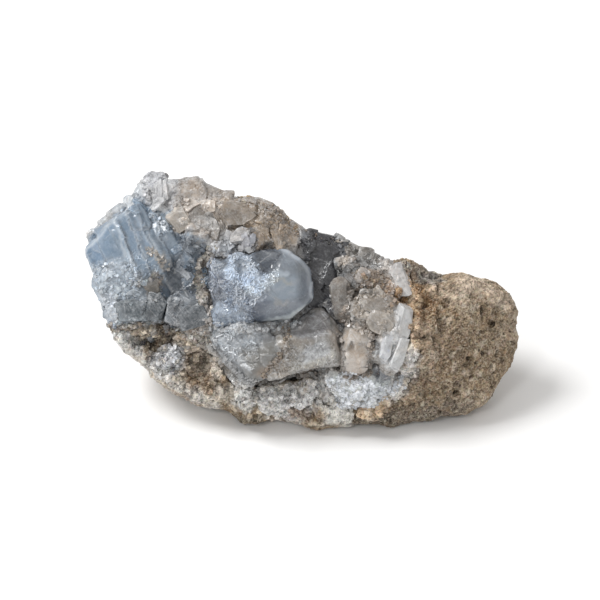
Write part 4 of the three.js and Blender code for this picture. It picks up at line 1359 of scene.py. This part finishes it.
PLATE_ZONES = table("""
plates at the upper left: number 20 size 2.4 6 ring 100,226 146,180 182,182 190,214 160,208 112,214
plates at the top: number 22 size 2.4 6.5 ring 178,190 240,204 252,234 208,240 176,212
plates at the upper right: number 22 size 2.2 5.5 ring 236,208 290,230 304,244 262,248 240,236
plates in the gully: number 10 size 3 7 slim 0.4 ring 178,240 190,238 194,248 190,284 196,300 184,304
 176,270
plates in the sugar: number 22 size 2 4.6 ring 92,270 120,262 150,276 160,300 150,322 116,322 102,300
plates beside the smoke: number 34 size 2 5 ring 336,244 366,252 392,262 400,292 352,296 340,290
plates on the clouded blocks: number 12 size 2.4 5 ring 350,300 376,298 392,304 380,330 360,326
plates of the sugar patch: number 34 size 1.2 3 spread 0.2 ring 330,380 372,384 398,384 398,390 372,406
 338,406
plates under the left crystal: width 12 number 34 size 1.4 3.6 spread 0.25 line 108,324 150,330 204,334
plates of the white lump: number 30 size 1 3 spread 0.3 ring 146,360 164,346 188,344 194,358 178,376 156,378
""")
CRUMB_ZONES = table("""
crumbs of the rim: width 11 number 420 size 0.5 1.4 lift 0.12 line 402,264 414,282 418,300 415,325 417,345
 411,375 402,394 382,413 346,418
crumbs below the white block: number 90 size 0.5 1.5 lift 0.2 ring 394,290 414,284 414,312 398,310
crumbs under the left crystal: width 13 number 420 size 0.4 1.4 vary 0.35 line 112,327 150,329 178,332
 206,338
crumbs of the earthy hollows: number 300 size 0.5 1.6 ring 120,334 186,340 218,356 216,396 176,386 140,356
crumbs of the strip: number 360 size 0.5 1.6 lift 0.35 ring 232,386 332,380 338,408 300,422 250,418
crumbs along the top edge: width 8 number 140 size 0.4 0.9 thick 0.5 line 240,200 270,208 300,232 340,244
 392,266
tan seam of the lower crystals: width 6 number 60 size 0.4 1.1 seen 146 134 122 line 284,326 290,336
 282,352 264,376
crumbs by the vein: width 12 number 280 size 0.4 1.1 seen 164 160 155 vary 0.28 line 213,252 202,266
 199,280 203,296 208,306
crumbs between the pale blocks: number 110 size 0.5 1.4 patchy 0 ring 350,272 390,274 400,294 378,298
 354,298
second tan patch: width 9 number 90 size 0.4 1.2 line 130,284 146,284 158,276 157,298
""")
NAMED_BLOCKS = table("""
white block: at 400,278 size 4.6 8.2 3 turn 16 out 0.9 seen 212 208 206
upper blade: at 401,326 size 4.4 11 2.8 turn -14 out 1.2 seen 248 243 236
lower blade: at 398,354 size 3.4 9 2.6 turn -14 out 1.5 seen 236 234 232
grey blade: at 385,346 size 2.8 7 2.4 turn -8 out 1 seen 198 199 202
upper clouded block: at 377,305 size 8.6 4.6 2.6 turn 8 out 0.8 seen 144 134 122
lower clouded block: at 380,323 size 7 5.6 2.6 turn -24 out 0.9 seen 166 158 148
clear block: at 156,307 size 5 6.4 2.6 turn -10 out 0.8 seen 62 70 76
six-sided clear block: at 194,315 size 7.8 6.4 2.8 turn 22 out 0.8 seen 78 84 89
flat clear block: at 131,311 size 8 6 2.6 turn 10 out 0.6 seen 90 99 105
tan crystal: at 180,221 size 5.2 5.8 2.4 turn 34 out 0.7 seen 172 164 154
beige crystal: at 235,214 size 7.6 6 2.6 turn -8 out 0.8 seen 142 130 116
first upright crystal: at 245,241 size 1.9 4 2.2 turn 8 out 1 seen 186 186 192
second upright crystal: at 252,240 size 1.8 3.6 2.2 turn -14 out 1 seen 170 172 180
bright chip: at 249,250 size 1.9 1.9 1.8 turn 30 out 1 seen 225 232 240
crystal by the smoke: at 339,299 size 4.4 9.4 3 turn 3 out 0.8 seen 118 112 105
cap of that crystal: at 341,284 size 4.8 2.8 2.6 turn -14 out 0.8 seen 124 115 105
block over the dark corner: at 153,285 size 5.2 5.2 3.4 turn 24 out 1.5 seen 148 142 134
block over the upper gap: at 354,293 size 4.8 4.4 3 turn -20 out 1.2 seen 126 116 105
block beside it: at 350,280 size 3.6 5 3 turn 12 out 1 seen 92 86 80
""")

# %% [markdown]
# ## From zones to meshes
# Sixteen cut blocks serve as patterns for a kind of grain. Each grain is one of them at its own
# size, turn and colour, set on the surface below a pixel drawn by lot, and all grains of a kind are
# joined in one mesh. Plates and named blocks are split and roughened, so that no face is quite flat.

# %% Piles of small solids
class Pile:
    """Small solids that are joined in one mesh, each point with a colour and a share of etching."""

    def __init__(self):
        self.points = []
        self.faces = []
        self.tints = []
        self.count = 0

    def add(self, points, faces, tint, etch):
        """One solid: its points in the face's frame, and a tint for all or for each of them."""
        self.points.append(points)
        self.faces += [[number + self.count for number in face] for face in faces]
        self.tints.append(np.column_stack([np.broadcast_to(tint, points.shape), np.full(len(points), etch)]))
        self.count += len(points)

    def mesh(self, name):
        """All of them as one mesh, none below the table."""
        mesh = bpy.data.meshes.new(name)
        places = from_face(np.vstack(self.points))
        places[:, 2] = np.maximum(places[:, 2], 0)
        mesh.from_pydata(places.tolist(), [], self.faces)
        tints = np.vstack(self.tints)
        write_tint(mesh, tints[:, :3])
        write_etch(mesh, tints[:, 3])
        print(name, "solids:", len(self.points), "faces:", len(mesh.polygons))
        return mesh


def hull(corners):
    """Points and faces of a block."""
    shape = bmesh.new()
    added = [shape.verts.new(corner) for corner in corners]
    bmesh.ops.convex_hull(shape, input=added)
    shape.verts.index_update()
    points = np.array([vertex.co for vertex in shape.verts])
    faces = [[vertex.index for vertex in face.verts] for face in shape.faces]
    shape.free()
    return points, faces


def roughen(mesh, cuts, depth):
    """Splits the faces of a mesh and moves its points by noise, so that no face is quite flat."""
    shape = bmesh.new()
    shape.from_mesh(mesh)
    bmesh.ops.subdivide_edges(shape, edges=shape.edges, cuts=cuts, use_grid_fill=True)
    shape.to_mesh(mesh)
    shape.free()
    places, normals = read_skin(mesh)
    high = noise(places, 2.4, 91) + noise(places, 0.9, 93) * 0.5
    write_skin(mesh, places + normals * high[:, None] * depth)
    edges, _ = edges_and_seams(mesh)
    layer = mesh.color_attributes["tint"].data
    colours = read_numbers(layer, "color", 4, np.float32)
    # Sharp edges are lightened as painted highlight, and the tone is made uneven by noise.
    colours[:, :3] *= (1 + edges * 0.4 + noise(places, 1.6, 95) * 0.2)[:, None]
    layer.foreach_set("color", np.minimum(colours, BRIGHTEST).ravel())
    print(mesh.name, "triangles:", sum(len(face.vertices) - 2 for face in mesh.polygons))
    return mesh


def face_tints(piece):
    """The tint at one corner of each face of a skin."""
    mesh = piece.data
    colours = read_numbers(mesh.color_attributes["tint"].data, "color", 4, np.float32)
    starts = read_numbers(mesh.polygons, "loop_start", 1, np.int32)[:, 0]
    corners = read_numbers(mesh.loops, "vertex_index", 1, np.int32)[:, 0]
    return colours[corners[starts], :3].astype(float)


skin_pieces = [
    piece for piece in bpy.data.objects if piece.type == "MESH" and "tint" in piece.data.attributes
]
skin_trees = search_trees(skin_pieces)
skin_tints = {piece.name: face_tints(piece) for piece in skin_pieces}


def scattered(name, rows, seed, cut, whole, usual):
    """Blocks drawn by lot in some zones, with the colour of the stone below each, in one mesh."""
    lot = np.random.default_rng(seed)
    patterns = [hull(block_corners(lot, cut, 0.10, whole)) for _ in range(PATTERN_COUNT)]
    pile = Pile()
    for row in rows:
        row = {**usual, **row}
        low, high = row["size"]
        pixels = random_pixels(lot, row, row["number"])
        clusters = noise(from_picture(pixels), 5.0, seed)
        for pixel, cluster in zip(pixels, clusters):
            across, up = from_picture([pixel])[0, :2]
            found = ground_under(skin_trees, across, up)
            if found is None or found[1][2] < FRONT_LIMIT or cluster < row["patchy"]:
                continue
            if row["crust_only"] and found[0] != crust.name:
                continue
            points, faces = patterns[lot.integers(PATTERN_COUNT)]
            thick = row["thick"] * lot.uniform(0.75, 1.3)
            length = low + (high - low) * lot.random() ** 2
            width = lot.uniform(row["slim"], 1.6 * row["slim"])
            size = length * np.array([1, width, thick])
            middle = found[1] + found[2] * size[2] * (0.5 - row["sink"])
            turn = stand_up(found[2], lot, row["spread"])
            tint = skin_tints[found[0]][found[3]] if row["colour"] is None else row["colour"]
            tint = tint * (1 + row["lift"] + lot.uniform(-1, 1) * row["vary"])
            pile.add(points * size / 2 @ turn.T + middle, faces, tint, lot.uniform(*row["etch"]))
    return pile.mesh(name)


def lying(normal, turn):
    """A turn that lays a block flat on a surface, its length turned in the picture by some degrees."""
    turn = math.radians(turn)
    side = np.cross([-math.sin(turn), math.cos(turn), 0.0], normal)
    side /= np.linalg.norm(side)
    return np.column_stack([side, np.cross(normal, side), normal])


def named_blocks():
    """The blocks that the photograph shows one by one."""
    pile = Pile()
    for number, row in enumerate(NAMED_BLOCKS):
        size = np.array(row["size"])
        across, up = from_picture([row["at"]])[0, :2]
        spots = [ground_under(skin_trees, across + size[0] * x, up + size[1] * y)
                 for x, y in ((0, 0), (0.3, 0), (-0.3, 0), (0, 0.3), (0, -0.3))]
        normal = sum(spot[2] for spot in spots) + [0, 0, 3]
        normal /= np.linalg.norm(normal)
        middle = sum(spot[1] for spot in spots) / len(spots) + normal * (row["out"] - size[2] / 2)
        lot = np.random.default_rng(number + 40)
        points, faces = hull(block_corners(lot, 0.66, 0.16, 1.2) * size / 2)
        pile.add(points @ lying(normal, row["turn"]).T + middle, faces, row["colour"], 0.22)
    return pile.mesh("named_blocks")


# %% [markdown]
# ## Four habits of small crystals
# Sugar grains are stubby, plates are flat and lie nearly level with the ground, needles are thin and
# almost white, and crumbs are bits of rock. `thick` and `slim` are shares of a crystal's length,
# `sink` is the share of its height below the surface, `spread` is how far it leans, `lift` and
# `vary` make its colour lighter and uneven, and `patchy` leaves gaps where a noise is below it.

# %% Small crystals
PATTERN_COUNT = 16
GRAIN = {
    "thick": 0.9, "slim": 0.6, "sink": 0.5, "spread": 0.4, "lift": 0.06, "vary": 0.28, "patchy": -9,
    "crust_only": False, "colour": None, "etch": (0.0, 0.4),
}
PLATE = {
    **GRAIN, "thick": 0.24, "slim": 0.55, "sink": 0.82, "spread": 0.09, "lift": 0.0, "vary": 0.12,
    "etch": (0.2, 0.6),
}
NEEDLE = {**GRAIN, "slim": 0.11, "thick": 0.11, "lift": 0.0, "vary": 0.15}
CRUMB = {**GRAIN, "vary": 0.22}
sugar_glass = crystal_glass("sugar_glass", 0.40, 0.20, (0.82, 0.86, 0.90, 1), 40.0, NEUTRAL_GLINT, 0.6, 0.2)
meshes = [
    roughen(named_blocks(), 4, 0.12),
    scattered("small_sugar_crystals", GRAIN_ZONES, 21, 0.75, 1.9, GRAIN),
    scattered("white_frost", FROST_ZONES, 23, 0.75, 1.9, NEEDLE),
    roughen(scattered("broken_plates", PLATE_ZONES, 29, 0.62, 1.2, PLATE), 2, 0.16),
    scattered("rock_crumbs", CRUMB_ZONES, 33, 0.70, 1.6, CRUMB),
]
frost_glass = crystal_glass("frost_glass", 0.06, 0.5, (0.90, 0.94, 0.98, 1), 20.0, BLUE_GLINT, 0.3, 0.0)
for mesh, material in zip(meshes, (sugar_glass, sugar_glass, frost_glass, sugar_glass, limestone_grain)):
    add_piece(mesh.name, mesh, material)

# %% [markdown]
# ## Floor finish
# A plain matt floor, almost white, with a trace of grain so that it isn't a flat colour.

# %% Floor material
bench = Bench("pale_floor")
bench_colour = bench.ramp(bench.speckle(60.0), (0.0, 0.88), (1.0, 0.92))
floor.data.materials.append(bench.finish({"Base Color": bench_colour, "Roughness": 0.8}))
